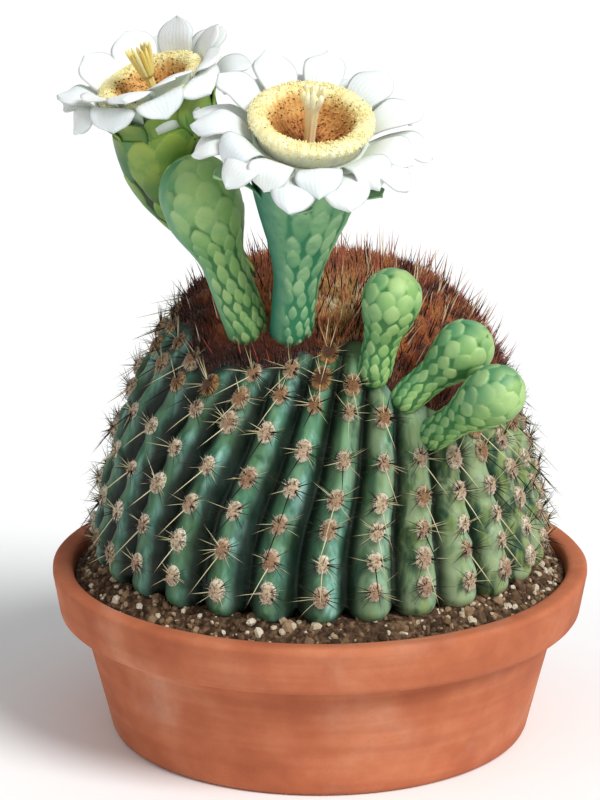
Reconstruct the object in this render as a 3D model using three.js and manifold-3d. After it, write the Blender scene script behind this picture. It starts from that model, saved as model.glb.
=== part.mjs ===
// Potted saguaro: the ribbed head of the plant with its woolly crown, scaly buds and white
// flowers, standing in soil in a plain terracotta pot.

import * as THREE from "three";
import { mergeVertices } from "three/addons/utils/BufferGeometryUtils.js";
import Module from "manifold-3d";

const wasm = await Module();
wasm.setup();

const DEGREE = Math.PI / 180;
const { lerp, smoothstep } = THREE.MathUtils;

// Driving dimensions, in millimetres. The origin is the centre of the pot's foot.

const GAP = 0.3; // clearance between neighbouring pieces

const POT_SIDES = 32;
const POT_HEIGHT = 80;
const POT_FOOT_RADIUS = 98;
const POT_WALL = 9;
const POT_FLARE = 0.25; // outward run of the wall for each millimetre of height
const RIM_BAND_HEIGHT = 24;
const RIM_OUTER_RADIUS = 126;
const RIM_INNER_RADIUS = 116;
const RIM_ROUNDING = 2;
const DRAIN_COUNT = 3;
const DRAIN_RADIUS = 7;
const DRAIN_CIRCLE_RADIUS = 45;
const DRAIN_SIDES = 12;

const SOIL_EDGE_LEVEL = 75;
const SOIL_STEM_LEVEL = 84;

const STEM_RADIUS = 106; // over the rib crests at the widest level
const DOME_HEIGHT = 130; // from the widest level to the growing tip
const WIDEST_LEVEL = 89;
const DOME_SIDE_POWER = 3.33;
const DOME_TOP_POWER = 1.33;
const TIP_LEAN = 11 * DEGREE; // the growing tip leans towards the front right
const TIP_LEAN_BEARING = -45 * DEGREE;
const RIBS = 28;
const RIB_DEPTH = 10;
const RIB_GROWTH = 16 * DEGREE; // from the edge of the wool to where the ribs have their full depth
const RIB_POWER = 2.4; // roundness of a rib's crest
const RIB_SHOULDER = 0.45; // where a rib turns down, as a share of the way to the valley
const STEM_ROWS = 9; // one row for each areole of a rib
const TUCK_ROWS = 2;
const TUCK_DEPTH = 11;
const ROOT_TOP_RADIUS = 80;
const ROOT_RADIUS = 72;
const ROOT_END_LEVEL = 40;
const ROOT_SIDES = 20;

const AREOLE_RADIUS = 4.6;
const AREOLE_HEIGHT = 4;
const AREOLE_SINK = 1;
const SPINE_RADIUS = 0.75;
const SPINE_CLEARANCE = 3; // from a spine to a bud or flower
const CENTRAL_SPINE = { out: 0.62, along: 0.72, side: 0.28, length: 25 };
const RADIAL_SPINE = { out: 0.5, along: -0.35, side: 0.75, length: 14 };

const CROWN_SPREAD = 37 * DEGREE; // from the growing tip to the edge of the wool
const CROWN_NOTCH = 15 * DEGREE; // how far the edge stands back at the front
const CROWN_NOTCH_BEARING = -95 * DEGREE;
const CROWN_NOTCH_WIDTH = 50 * DEGREE;
const CROWN_MARGIN = 4 * DEGREE; // from the edge of the wool to the first areole
const CROWN_DEPTH = 4;
const CROWN_SIDES = 36;
const CROWN_TUFT = 4;
const CROWN_SPINES = 54;
const CROWN_SPINE_LENGTH = 15;

const SOCKET_DEPTH = 7; // how far buds and flowers stand in the plant
const SOCKET_HEIGHT = 22;
const SOCKET_SIDES = 10;
const SCALE_RELIEF = 0.9;

const BUDS = [
  { name: "bud_large", foot: [-32.4, -50.4, 204.1], reach: [-26.4, -14, 79.5], neck: 9.6, head: 17.2 },
  { name: "bud_upright", foot: [23.6, -68.4, 190], reach: [10, -8, 46.2], neck: 7.4, head: 12.6 },
  { name: "bud_right", foot: [38.8, -70.4, 179], reach: [32.8, -8, 31.2], neck: 7.2, head: 12.4 },
  { name: "bud_low", foot: [50.4, -71.9, 162], reach: [31.7, -36, 33.2], neck: 7.2, head: 12.2 },
];
const LARGE_BUD = { sides: 16, rows: 15, swellStart: 0.38 };
const SMALL_BUD = { sides: 12, rows: 11, swellStart: 0.24 };
const LARGE_BUD_LENGTH = 70;

const FLOWERS = [
  { name: "flower_front", foot: [-13.1, -57.2, 205], reach: [8.8, -46, 104.9], size: 0.95, petals: 11 },
  { name: "flower_left", foot: [-37.8, -10.5, 215.4], reach: [-35.5, -25, 99], size: 0.87, petals: 9 },
];
const TUBE_BOW = { flower_front: 0, flower_left: 10 };
const INNER_PETAL_SLOPES = {
  flower_front: { startSlope: 48 * DEGREE, endSlope: -22 * DEGREE },
  flower_left: { startSlope: 64 * DEGREE, endSlope: 0 },
};

const FLOWER_NECK_RADIUS = 9.6;
const PETAL_THICKNESS = 1;

// Proportions of a flower of size 1. A drop is measured down from the lip of the stamens.

const TUBE_SIDES = 12;
const TUBE_ROWS = 11;
const RIM_DROP = 19.5;
const RIM_OUTSIDE_RADIUS = 27.2;
const RIM_INSIDE_RADIUS = 25;
const CUP_DROP = 25;
const CUP_RADIUS = 23.6;
const TEPALS = 7;
const TEPAL = { drop: 36.5, length: 25, width: 15, startSlope: 64 * DEGREE, endSlope: -5 * DEGREE };
const PETAL_RING_RADIUS = 24.2;
const PETAL_RING_WALL = 3;
const PETAL_RING_TOP_DROP = 11;
const PETAL_WIDTH = 17;
const OUTER_PETAL = { length: 33, startSlope: 28 * DEGREE, endSlope: -50 * DEGREE };
const INNER_PETAL_LENGTH = 31;
const STAMEN_SIDES = 20;
const ANTHER_RISE = 1.6;
const STIGMA_RISE = 11; // above the lip of the stamens
const STIGMA_LOBES = 8;
const STIGMA_LOBE_LENGTH = 11.5;
const STIGMA_SPREAD = 26 * DEGREE;

// Repeatable random numbers from 0 to 1.
function seeded(seed) {
  let state = seed;
  return () => {
    state = (state + 0x6d2b79f5) | 0;
    let mixed = Math.imul(state ^ (state >>> 15), 1 | state);
    mixed = (mixed + Math.imul(mixed ^ (mixed >>> 7), 61 | mixed)) ^ mixed;
    return ((mixed ^ (mixed >>> 14)) >>> 0) / 2 ** 32;
  };
}

// Solid made from a closed geometry.
function solidOf(geometry) {
  const bare = geometry.clone();
  bare.deleteAttribute("normal");
  bare.deleteAttribute("uv");
  const merged = mergeVertices(bare, 1e-4);
  const mesh = new wasm.Mesh({
    numProp: 3,
    vertProperties: new Float32Array(merged.attributes.position.array),
    triVerts: new Uint32Array(merged.index.array),
  });
  return new wasm.Manifold(mesh);
}

// Geometry of the largest body of a solid, without the scraps that a cut may leave.
function geometryOf(solid) {
  const bodies = solid.decompose();
  const largest = bodies.reduce((best, body) => (body.volume() > best.volume() ? body : best));
  const mesh = largest.getMesh();
  const geometry = new THREE.BufferGeometry();
  geometry.setAttribute("position", new THREE.BufferAttribute(mesh.vertProperties, 3));
  geometry.setIndex(new THREE.BufferAttribute(mesh.triVerts, 1));
  geometry.computeVertexNormals();
  return geometry;
}

// Geometry from points and the corners of its triangles.
function geometryFrom(points, corners) {
  const geometry = new THREE.BufferGeometry();
  geometry.setFromPoints(points);
  geometry.setIndex(corners);
  geometry.computeVertexNormals();
  return geometry;
}

// Lathe about the vertical axis through [radius, height] points.
function lathe(outline, sides) {
  const points = outline.map(([radius, height]) => new THREE.Vector2(radius, height));
  return new THREE.LatheGeometry(points, sides).rotateX(Math.PI / 2);
}

// Closed skin through rings of points, drawn together at the centre of each end ring. With
// studded set, the quads are split so that every other point stands up as a pyramid.
function loft(rings, studded = false) {
  const count = rings[0].length;
  const centreOf = (ring) => {
    const sum = ring.reduce((total, point) => total.add(point), new THREE.Vector3());
    return sum.divideScalar(count);
  };
  const points = rings.flat();
  const start = points.length;
  points.push(centreOf(rings[0]), centreOf(rings[rings.length - 1]));
  const corners = [];
  const lastRing = (rings.length - 1) * count;
  for (let side = 0; side < count; side += 1) {
    const next = (side + 1) % count;
    corners.push(start, next, side);
    corners.push(start + 1, lastRing + side, lastRing + next);
    for (let ring = 0; ring < rings.length - 1; ring += 1) {
      const a = ring * count + side;
      const b = ring * count + next;
      const c = a + count;
      const d = b + count;
      if (studded && (ring + side) % 2 === 0) {
        corners.push(a, b, c, b, d, c);
      } else {
        corners.push(a, b, d, a, d, c);
      }
    }
  }
  return geometryFrom(points, corners);
}

// Thin curved blade. The function gives a point of its middle surface, for the way along it
// from 0 to 1 and across it from -1 to 1. Both faces are split alike.
function blade(rows, columns, thickness, middle) {
  const step = 1e-3;
  const points = [];
  for (const face of [1, -1]) {
    for (let row = 0; row <= rows; row += 1) {
      for (let column = 0; column <= columns; column += 1) {
        const along = row / rows;
        const across = (2 * column) / columns - 1;
        const lengthways = middle(along + step, across).sub(middle(along - step, across));
        const sideways = middle(along, across + step).sub(middle(along, across - step));
        const lift = lengthways.cross(sideways).setLength((face * thickness) / 2);
        points.push(middle(along, across).add(lift));
      }
    }
  }
  const width = columns + 1;
  const under = (rows + 1) * width;
  const corners = [];
  for (let row = 0; row < rows; row += 1) {
    for (let column = 0; column < columns; column += 1) {
      const a = row * width + column;
      const b = a + 1;
      const c = a + width;
      const d = c + 1;
      corners.push(a, c, d, a, d, b);
      corners.push(under + a, under + d, under + c, under + a, under + b, under + d);
    }
  }
  const edge = [];
  for (let row = 0; row < rows; row += 1) edge.push(row * width);
  for (let column = 0; column < columns; column += 1) edge.push(rows * width + column);
  for (let row = rows; row > 0; row -= 1) edge.push(row * width + columns);
  for (let column = columns; column > 0; column -= 1) edge.push(column);
  edge.forEach((from, place) => {
    const to = edge[(place + 1) % edge.length];
    corners.push(under + from, under + to, to, under + from, to, from);
  });
  return geometryFrom(points, corners);
}

// Three-sided needle that tapers to a point.
function needle(root, direction, length, radius) {
  const turn = new THREE.Quaternion().setFromUnitVectors(new THREE.Vector3(0, 1, 0), direction);
  const geometry = new THREE.ConeGeometry(radius, length, 3);
  return geometry.translate(0, length / 2, 0).applyQuaternion(turn).translate(...root.toArray());
}

// Distance from the centre of the dome to its surface, at an angle from straight up.
function domeReach(polar) {
  let near = 0;
  let far = STEM_RADIUS + DOME_HEIGHT;
  for (let pass = 0; pass < 40; pass += 1) {
    const middle = (near + far) / 2;
    const across = (middle * Math.sin(polar)) / STEM_RADIUS;
    const up = Math.max(0, (middle * Math.cos(polar)) / DOME_HEIGHT);
    if (across ** DOME_SIDE_POWER + up ** DOME_TOP_POWER > 1) {
      far = middle;
    } else {
      near = middle;
    }
  }
  return near;
}

// Point of the stem without its ribs, at an angle down from the growing tip and a bearing round
// it. The lean of the tip fades out at the widest level, and below it the stem tucks in.
function domePoint(down, bearing, lift = 0) {
  const level = Math.PI / 2;
  if (down > level) {
    const drop = down - level;
    const radius = lerp(ROOT_TOP_RADIUS, STEM_RADIUS, Math.cos(drop)) + lift;
    const height = WIDEST_LEVEL - (TUCK_DEPTH + lift) * Math.sin(drop);
    return new THREE.Vector3(radius * Math.cos(bearing), radius * Math.sin(bearing), height);
  }
  const leanAxis = new THREE.Vector3(-Math.sin(TIP_LEAN_BEARING), Math.cos(TIP_LEAN_BEARING), 0);
  const lean = TIP_LEAN * (1 - smoothstep(down, level / 2, level));
  const direction = new THREE.Vector3(
    Math.sin(down) * Math.cos(bearing),
    Math.sin(down) * Math.sin(bearing),
    Math.cos(down),
  ).applyAxisAngle(leanAxis, lean);
  const polar = Math.acos(THREE.MathUtils.clamp(direction.z, -1, 1));
  const point = direction.multiplyScalar(domeReach(polar) + lift);
  point.z += WIDEST_LEVEL;
  return point;
}

// Angle from the growing tip to the edge of the wool, without its raggedness.
function woolEdge(bearing) {
  const turn = 2 * Math.PI;
  const apart = THREE.MathUtils.euclideanModulo(bearing - CROWN_NOTCH_BEARING + turn / 2, turn) - turn / 2;
  const share = Math.min(1, Math.abs(apart) / CROWN_NOTCH_WIDTH);
  return CROWN_SPREAD - CROWN_NOTCH * Math.cos((share * Math.PI) / 2) ** 2;
}

function raggedEdge(bearing) {
  return woolEdge(bearing) + DEGREE * (1.3 * Math.sin(9 * bearing) + Math.sin(14 * bearing + 1));
}

// How far the skin lies below the rib crests.
function ribLift(down, bearing) {
  const phase = (bearing / (2 * Math.PI)) * RIBS;
  const offCrest = 2 * (phase - Math.round(phase));
  const start = woolEdge(bearing) - RIB_GROWTH / 4;
  const growth = smoothstep(down, start, start + RIB_GROWTH);
  const fade = Math.cos(Math.max(0, down - Math.PI / 2));
  return -RIB_DEPTH * growth * fade * Math.abs(offCrest) ** RIB_POWER;
}

// Outward, downhill and sideways directions on the dome.
function domeFrame(down, bearing) {
  const step = 1e-3;
  const downhill = domePoint(down + step, bearing).sub(domePoint(down - step, bearing)).normalize();
  const sideways = domePoint(down, bearing + step).sub(domePoint(down, bearing - step)).normalize();
  const outward = downhill.clone().cross(sideways).normalize();
  return { outward, downhill, sideways };
}

// Ribbed body of the stem from the growing tip to the end of the tuck.
function ribbedBody() {
  const bearings = [];
  for (let rib = 0; rib < RIBS; rib += 1) {
    for (const offCrest of [-RIB_SHOULDER, RIB_SHOULDER, 1]) {
      bearings.push(((rib + offCrest / 2) / RIBS) * 2 * Math.PI);
    }
  }
  const rings = [];
  for (let row = TUCK_ROWS; row > 0; row -= 1) {
    const down = (Math.PI / 2) * (1 + row / TUCK_ROWS);
    rings.push(bearings.map((bearing) => domePoint(down, bearing, ribLift(down, bearing))));
  }
  for (let row = STEM_ROWS; row >= 0; row -= 1) {
    const down = (Math.PI / 2) * (row / STEM_ROWS);
    rings.push(bearings.map((bearing) => domePoint(down, bearing, ribLift(down, bearing))));
  }
  return solidOf(loft(rings));
}

// Plain woody root end of the stem, in the soil.
function root() {
  const outline = [
    [0, ROOT_END_LEVEL],
    [ROOT_RADIUS * 0.8, ROOT_END_LEVEL],
    [ROOT_RADIUS, ROOT_END_LEVEL + 10],
    [ROOT_RADIUS, WIDEST_LEVEL],
    [0, WIDEST_LEVEL],
  ];
  return solidOf(lathe(outline, ROOT_SIDES));
}

// Cap of wool over the growing tip, with its tufts, or the recess that it lies in.
function crownCap(under, over, tuft, margin) {
  const random = seeded(11);
  const ringAt = (index, share, lift, rough) => {
    const ring = [];
    for (let side = 0; side < CROWN_SIDES; side += 1) {
      const bearing = (side / CROWN_SIDES) * 2 * Math.PI;
      const down = (raggedEdge(bearing) + margin) * share;
      const raised = (index + side) % 2 === 0 ? 0.5 : 0;
      ring.push(domePoint(down, bearing, lift + rough * (raised + 0.5 * random())));
    }
    return ring;
  };
  const rings = [ringAt(0, 0.3, under, 0), ringAt(1, 1, under, 0), ringAt(2, 1, over, 0)];
  [0.86, 0.68, 0.5, 0.3, 0.12].forEach((share, row) => {
    rings.push(ringAt(row + 3, share, over, tuft));
  });
  return solidOf(loft(rings, true));
}

// Radius of a club-shaped bud at a height above its foot.
function budRadius(bud, height) {
  const swell = smoothstep(height / bud.length, bud.form.swellStart, 0.72);
  const radius = lerp(bud.neck, bud.head, swell);
  const headCentre = bud.length - bud.head;
  const past = Math.max(0, (height - headCentre) / bud.head);
  return radius * Math.sqrt(Math.max(0, 1 - past ** 2));
}

// Radius of a flower's tube, which flares towards its rim.
function tubeRadius(flower, height) {
  const flare = smoothstep(height, 0.2 * flower.length, rimHeight(flower));
  return lerp(FLOWER_NECK_RADIUS, (RIM_OUTSIDE_RADIUS - SCALE_RELIEF) * flower.size, flare);
}

// Sideways bow of a flower's tube, which carries its open part along with the rim.
function tubeBow(flower, height) {
  const share = THREE.MathUtils.clamp(height, 0, rimHeight(flower)) / flower.length;
  return -TUBE_BOW[flower.name] * Math.sin(Math.PI * share) ** 2;
}

// Heights above the foot of the tube's rim and of the floor of the cup in it.
function rimHeight({ length, size }) {
  return length - RIM_DROP * size;
}

function cupHeight({ length, size }) {
  return length - CUP_DROP * size;
}

// Ring of points round an upright axis, every other one raised as a scale and drawn to the tip.
function scaleRing(index, height, spacing, radius, sides, relief, shift = 0) {
  const ring = [];
  for (let side = 0; side < sides; side += 1) {
    const raised = (index + side) % 2 === 0;
    const angle = (side / sides) * 2 * Math.PI;
    const out = radius + (raised ? relief : 0);
    const up = height + (raised && relief > 0 ? spacing * 0.25 : 0);
    ring.push(new THREE.Vector3(out * Math.cos(angle) + shift, out * Math.sin(angle), up));
  }
  return ring;
}

// Group that stands on a foot and looks along the reach of a bud or flower.
function standing({ foot, reach }) {
  const group = new THREE.Group();
  group.position.set(...foot);
  const direction = new THREE.Vector3(...reach).normalize();
  group.quaternion.setFromUnitVectors(new THREE.Vector3(0, 0, 1), direction);
  group.updateMatrixWorld();
  return group;
}

function budSolid(bud) {
  const { sides, rows } = bud.form;
  const rings = [scaleRing(1, -SOCKET_DEPTH, 0, bud.neck * 0.8, sides, 0)];
  const spacing = (bud.length * 0.97) / rows;
  for (let row = 0; row <= rows; row += 1) {
    const height = row * spacing;
    const relief = row < rows ? SCALE_RELIEF : 0;
    rings.push(scaleRing(row, height, spacing, budRadius(bud, height), sides, relief));
  }
  return loft(rings, true);
}

// Straight, plain column that clears a foot's socket.
function socket(organ, radius) {
  const outer = (radius + SCALE_RELIEF + GAP) / Math.cos(Math.PI / SOCKET_SIDES);
  const bottom = -SOCKET_DEPTH - GAP;
  const outline = [[0, bottom], [outer, bottom], [outer, SOCKET_HEIGHT], [0, SOCKET_HEIGHT]];
  return solidOf(lathe(outline, SOCKET_SIDES).applyMatrix4(standing(organ).matrixWorld));
}

// Point on the middle line of a petal that arches from one slope to another.
function archPoint(length, startSlope, endSlope, along) {
  const turn = endSlope - startSlope;
  const slope = startSlope + turn * along;
  const out = (length / turn) * (Math.sin(slope) - Math.sin(startSlope));
  const up = (length / turn) * (Math.cos(startSlope) - Math.cos(slope));
  return [out, up];
}

// Petal or tepal that grows outwards at a bearing round an upright axis.
function petal({ bearing, radius, height, length, width, startSlope, endSlope, cup, rows }) {
  const spin = new THREE.Quaternion().setFromAxisAngle(new THREE.Vector3(0, 0, 1), bearing);
  const middle = (along, across) => {
    const [out, up] = archPoint(length, startSlope, endSlope, along);
    const spread = 0.5 * width * (0.3 + 0.7 * Math.sin(Math.PI * (0.06 + 0.6 * along)));
    const narrowing = 1 - 0.62 * smoothstep(along, 0.72, 1.05);
    const side = across * spread * narrowing;
    return new THREE.Vector3(radius + out, side, height + up + cup * across ** 2).applyQuaternion(spin);
  };
  return solidOf(blade(rows, 2, PETAL_THICKNESS, middle));
}

// Green tube with its scales, the cup at its top and the green outer tepals.
function tubeSolid(flower) {
  const { size } = flower;
  const rim = rimHeight(flower);
  const spacing = rim / TUBE_ROWS;
  const rings = [scaleRing(1, -SOCKET_DEPTH, 0, FLOWER_NECK_RADIUS * 0.8, TUBE_SIDES, 0)];
  for (let row = 0; row < TUBE_ROWS; row += 1) {
    const level = row * spacing;
    const radius = tubeRadius(flower, level);
    rings.push(scaleRing(row, level, spacing, radius, TUBE_SIDES, SCALE_RELIEF, tubeBow(flower, level)));
  }
  const lip = [[RIM_OUTSIDE_RADIUS, rim], [RIM_INSIDE_RADIUS, rim], [CUP_RADIUS, cupHeight(flower)]];
  for (const [radius, level] of lip) {
    rings.push(scaleRing(TUBE_ROWS, level, 0, radius * size, TUBE_SIDES, 0, tubeBow(flower, rim)));
  }
  const pieces = [solidOf(loft(rings, true))];
  const height = flower.length - TEPAL.drop * size;
  for (let place = 0; place < TEPALS; place += 1) {
    pieces.push(petal({
      bearing: ((place + 0.5) / TEPALS) * 2 * Math.PI,
      radius: tubeRadius(flower, height) - 0.8,
      height,
      length: TEPAL.length * size,
      width: TEPAL.width * size,
      startSlope: TEPAL.startSlope,
      endSlope: TEPAL.endSlope,
      cup: 1,
      rows: 3,
    }).translate(tubeBow(flower, height), 0, 0));
  }
  return geometryOf(wasm.Manifold.union(pieces));
}

// White petals in two layers on a ring that sits on the rim of the tube.
function petalsSolid(flower) {
  const { length, size, petals } = flower;
  const base = rimHeight(flower) + GAP;
  const top = length - PETAL_RING_TOP_DROP * size;
  const innerRadius = (PETAL_RING_RADIUS * size) / Math.cos(Math.PI / petals);
  const outerRadius = innerRadius + PETAL_RING_WALL * size;
  const outline = [[innerRadius, base], [outerRadius, base], [outerRadius, top], [innerRadius, top]];
  outline.push(outline[0]);
  const ring = lathe(outline, petals).rotateZ(Math.PI / petals);
  const pieces = [solidOf(ring)];
  const innerPetal = { length: INNER_PETAL_LENGTH, ...INNER_PETAL_SLOPES[flower.name] };
  const layers = [
    { ...OUTER_PETAL, height: base + 2, offset: 0, rows: 3 },
    { ...innerPetal, height: top - 1.5, offset: 0.5, rows: 4 },
  ];
  for (const layer of layers) {
    for (let place = 0; place < petals; place += 1) {
      pieces.push(petal({
        bearing: ((place + layer.offset) / petals) * 2 * Math.PI,
        radius: innerRadius + 1,
        height: layer.height,
        length: layer.length * size,
        width: (PETAL_WIDTH * size * FLOWERS[0].petals) / petals,
        startSlope: layer.startSlope,
        endSlope: layer.endSlope,
        cup: 1.6 * size,
        rows: layer.rows,
      }));
    }
  }
  return geometryOf(wasm.Manifold.union(pieces));
}

// Bowl of massed stamens with their anthers along its lip, open in the middle for the style.
function stamensSolid(flower) {
  const { length, size } = flower;
  const outline = [
    [3.4, -24.6], [19, -24.6], [23.4, -20], [23.6, -11], [28.6, -2], [26.6, 1.6], [21.8, 1.6],
    [18.8, -1.5], [14, -11], [3.4, -15.6],
  ];
  const points = [];
  outline.forEach(([radius, height]) => {
    for (let side = 0; side < STAMEN_SIDES; side += 1) {
      const angle = (side / STAMEN_SIDES) * 2 * Math.PI;
      const rise = height > 0 && side % 2 === 0 ? ANTHER_RISE : 0;
      const out = radius * size;
      const up = length + (height + rise) * size;
      points.push(new THREE.Vector3(out * Math.cos(angle), out * Math.sin(angle), up));
    }
  });
  const corners = [];
  for (let ring = 0; ring < outline.length; ring += 1) {
    const above = (ring + 1) % outline.length;
    for (let side = 0; side < STAMEN_SIDES; side += 1) {
      const next = (side + 1) % STAMEN_SIDES;
      const a = ring * STAMEN_SIDES + side;
      const b = ring * STAMEN_SIDES + next;
      const c = above * STAMEN_SIDES + side;
      const d = above * STAMEN_SIDES + next;
      corners.push(a, b, d, a, d, c);
    }
  }
  return geometryFrom(points, corners);
}

// Style that rises through the stamens, with its stigma lobes spread like fingers.
function styleSolid(flower) {
  const { length, size } = flower;
  const foot = cupHeight(flower) + GAP;
  const knuckle = length + STIGMA_RISE * size;
  const outline = [
    [0, foot], [2 * size, foot], [2.2 * size, length], [3.4 * size, knuckle], [0, knuckle + 1],
  ];
  const pieces = [solidOf(lathe(outline, 8))];
  for (let lobe = 0; lobe < STIGMA_LOBES; lobe += 1) {
    const bearing = (lobe / STIGMA_LOBES) * 2 * Math.PI;
    const start = new THREE.Vector3(2.2 * Math.cos(bearing), 2.2 * Math.sin(bearing), 0);
    start.multiplyScalar(size).setZ(knuckle - 2.5);
    const direction = new THREE.Vector3(
      Math.sin(STIGMA_SPREAD) * Math.cos(bearing),
      Math.sin(STIGMA_SPREAD) * Math.sin(bearing),
      Math.cos(STIGMA_SPREAD),
    );
    pieces.push(solidOf(needle(start, direction, STIGMA_LOBE_LENGTH * size, 1.5 * size)));
  }
  return geometryOf(wasm.Manifold.union(pieces));
}

// Whether a spine keeps clear of every bud and flower, and of the soil and the pot's rim.
function isClear(from, direction, length, organs) {
  const steps = 6;
  for (let step = 0; step <= steps; step += 1) {
    const point = from.clone().addScaledVector(direction, (length * step) / steps);
    if (point.z < SOIL_STEM_LEVEL + 1.5) return false;
    for (const organ of organs) {
      const local = point.clone().applyMatrix4(organ.inverse);
      const beside = local.z > -2 * SOCKET_DEPTH && local.z < organ.length + SPINE_CLEARANCE;
      const reach = organ.radiusAt(local.z) + SPINE_CLEARANCE;
      if (beside && Math.hypot(local.x, local.y) < reach) return false;
    }
  }
  return true;
}

// Felted areoles down the rib crests, one between each two rows of the skin, with their spines.
function areoles(organs) {
  const random = seeded(7);
  const pieces = [];
  for (let rib = 0; rib < RIBS; rib += 1) {
    const bearing = (rib / RIBS) * 2 * Math.PI;
    for (let row = 0; row < STEM_ROWS; row += 1) {
      const down = ((row + 0.5 + 0.2 * (random() - 0.5)) * Math.PI) / 2 / STEM_ROWS;
      const place = domePoint(down, bearing, -AREOLE_SINK);
      const { outward, downhill, sideways } = domeFrame(down, bearing);
      if (down < raggedEdge(bearing) + CROWN_MARGIN || !isClear(place, outward, 1, organs)) continue;
      const basis = new THREE.Matrix4().makeBasis(sideways, outward, downhill).setPosition(place);
      const pad = new THREE.ConeGeometry(AREOLE_RADIUS, AREOLE_HEIGHT, 3).applyMatrix4(basis);
      pieces.push(solidOf(pad));
      const sway = random() < 0.5 ? -1 : 1;
      for (const spine of [CENTRAL_SPINE, RADIAL_SPINE]) {
        const length = spine.length * (0.75 + 0.5 * random());
        const direction = outward.clone().multiplyScalar(spine.out);
        direction.addScaledVector(downhill, spine.along).addScaledVector(sideways, spine.side * sway);
        direction.normalize();
        if (isClear(place, direction, length, organs)) {
          pieces.push(solidOf(needle(place, direction, length, SPINE_RADIUS)));
        }
      }
    }
  }
  return pieces;
}

// Young spines that stand up out of the wool.
function crownSpines(organs) {
  const random = seeded(23);
  const pieces = [];
  for (let count = 0; count < CROWN_SPINES; count += 1) {
    const bearing = ((count + 0.6 * random()) / CROWN_SPINES) * 2 * Math.PI * 5;
    const down = woolEdge(bearing) * 0.92 * Math.sqrt((count + 0.5) / CROWN_SPINES);
    const { outward, downhill, sideways } = domeFrame(down, bearing);
    const direction = outward.addScaledVector(downhill, 0.5 * (random() - 0.6));
    direction.addScaledVector(sideways, 0.6 * (random() - 0.5)).normalize();
    const place = domePoint(down, bearing, -1.5);
    const length = CROWN_SPINE_LENGTH * (0.7 + 0.5 * random());
    if (isClear(place, direction, length, organs)) {
      pieces.push(solidOf(needle(place, direction, length, SPINE_RADIUS)));
    }
  }
  return pieces;
}

// Plain pot with a banded rim, a flat foot and drainage holes.
function potSolid() {
  const bandLevel = POT_HEIGHT - RIM_BAND_HEIGHT;
  const wallRadius = POT_FOOT_RADIUS + POT_FLARE * bandLevel;
  const outline = [
    [0, 0],
    [POT_FOOT_RADIUS - RIM_ROUNDING, 0],
    [POT_FOOT_RADIUS, RIM_ROUNDING],
    [wallRadius, bandLevel],
    [RIM_OUTER_RADIUS - 4, bandLevel + 1],
    [RIM_OUTER_RADIUS, POT_HEIGHT - RIM_ROUNDING],
    [RIM_OUTER_RADIUS - RIM_ROUNDING, POT_HEIGHT],
    [RIM_INNER_RADIUS + RIM_ROUNDING, POT_HEIGHT],
    [RIM_INNER_RADIUS, POT_HEIGHT - RIM_ROUNDING],
    ...potInside(0).reverse(),
    [0, POT_WALL],
  ];
  let solid = solidOf(lathe(outline, POT_SIDES));
  for (let hole = 0; hole < DRAIN_COUNT; hole += 1) {
    const angle = ((hole + 0.25) / DRAIN_COUNT) * 2 * Math.PI;
    const drill = new THREE.CylinderGeometry(DRAIN_RADIUS, DRAIN_RADIUS, 3 * POT_WALL, DRAIN_SIDES);
    drill.rotateX(Math.PI / 2);
    drill.translate(DRAIN_CIRCLE_RADIUS * Math.cos(angle), DRAIN_CIRCLE_RADIUS * Math.sin(angle), 0);
    solid = solid.subtract(solidOf(drill));
  }
  return geometryOf(solid);
}

// Inner wall of the pot from its floor to below the rim, drawn in by a gap.
function potInside(gap) {
  const bandLevel = POT_HEIGHT - RIM_BAND_HEIGHT;
  const floorRadius = POT_FOOT_RADIUS - POT_WALL;
  const bandRadius = POT_FOOT_RADIUS + POT_FLARE * bandLevel - POT_WALL;
  return [
    [floorRadius - gap, POT_WALL + gap],
    [bandRadius - gap, bandLevel],
    [RIM_INNER_RADIUS - 2 - gap, bandLevel + 6],
  ];
}

// Soil that fills the pot and rises a little to the stem, with a plain hole for its root end.
function soilGeometry() {
  const tuckBottom = WIDEST_LEVEL - TUCK_DEPTH - GAP;
  const slack = 1 / Math.cos(Math.PI / POT_SIDES);
  const outline = [
    [0, POT_WALL + GAP],
    ...potInside(2 * GAP),
    [RIM_INNER_RADIUS - 1 - 2 * GAP, SOIL_EDGE_LEVEL],
    [STEM_RADIUS, SOIL_STEM_LEVEL - 1],
    [(STEM_RADIUS - 2) * slack, SOIL_STEM_LEVEL],
    [(ROOT_TOP_RADIUS + 10) * slack, tuckBottom],
    [(ROOT_RADIUS + GAP) * slack, tuckBottom],
    [(ROOT_RADIUS + GAP) * slack, ROOT_END_LEVEL - GAP],
    [0, ROOT_END_LEVEL - GAP],
  ];
  return lathe(outline, POT_SIDES);
}

// Buds and flowers are measured once, with what the spines must keep clear of.
BUDS.forEach((bud) => {
  bud.length = new THREE.Vector3(...bud.reach).length();
  bud.form = bud.length > LARGE_BUD_LENGTH ? LARGE_BUD : SMALL_BUD;
});
FLOWERS.forEach((flower) => {
  flower.length = new THREE.Vector3(...flower.reach).length();
});
const organs = [
  ...BUDS.map((bud) => ({
    inverse: standing(bud).matrixWorld.clone().invert(),
    length: bud.length,
    radiusAt: (height) => budRadius(bud, Math.max(0, height)),
  })),
  ...FLOWERS.map((flower) => ({
    inverse: standing(flower).matrixWorld.clone().invert(),
    length: flower.length,
    radiusAt: (height) => tubeRadius(flower, height) + TUBE_BOW[flower.name] * smoothstep(height, 5, 30),
  })),
];

function material(color, roughness) {
  return new THREE.MeshStandardMaterial({ color, roughness, metalness: 0, flatShading: true });
}

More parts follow.
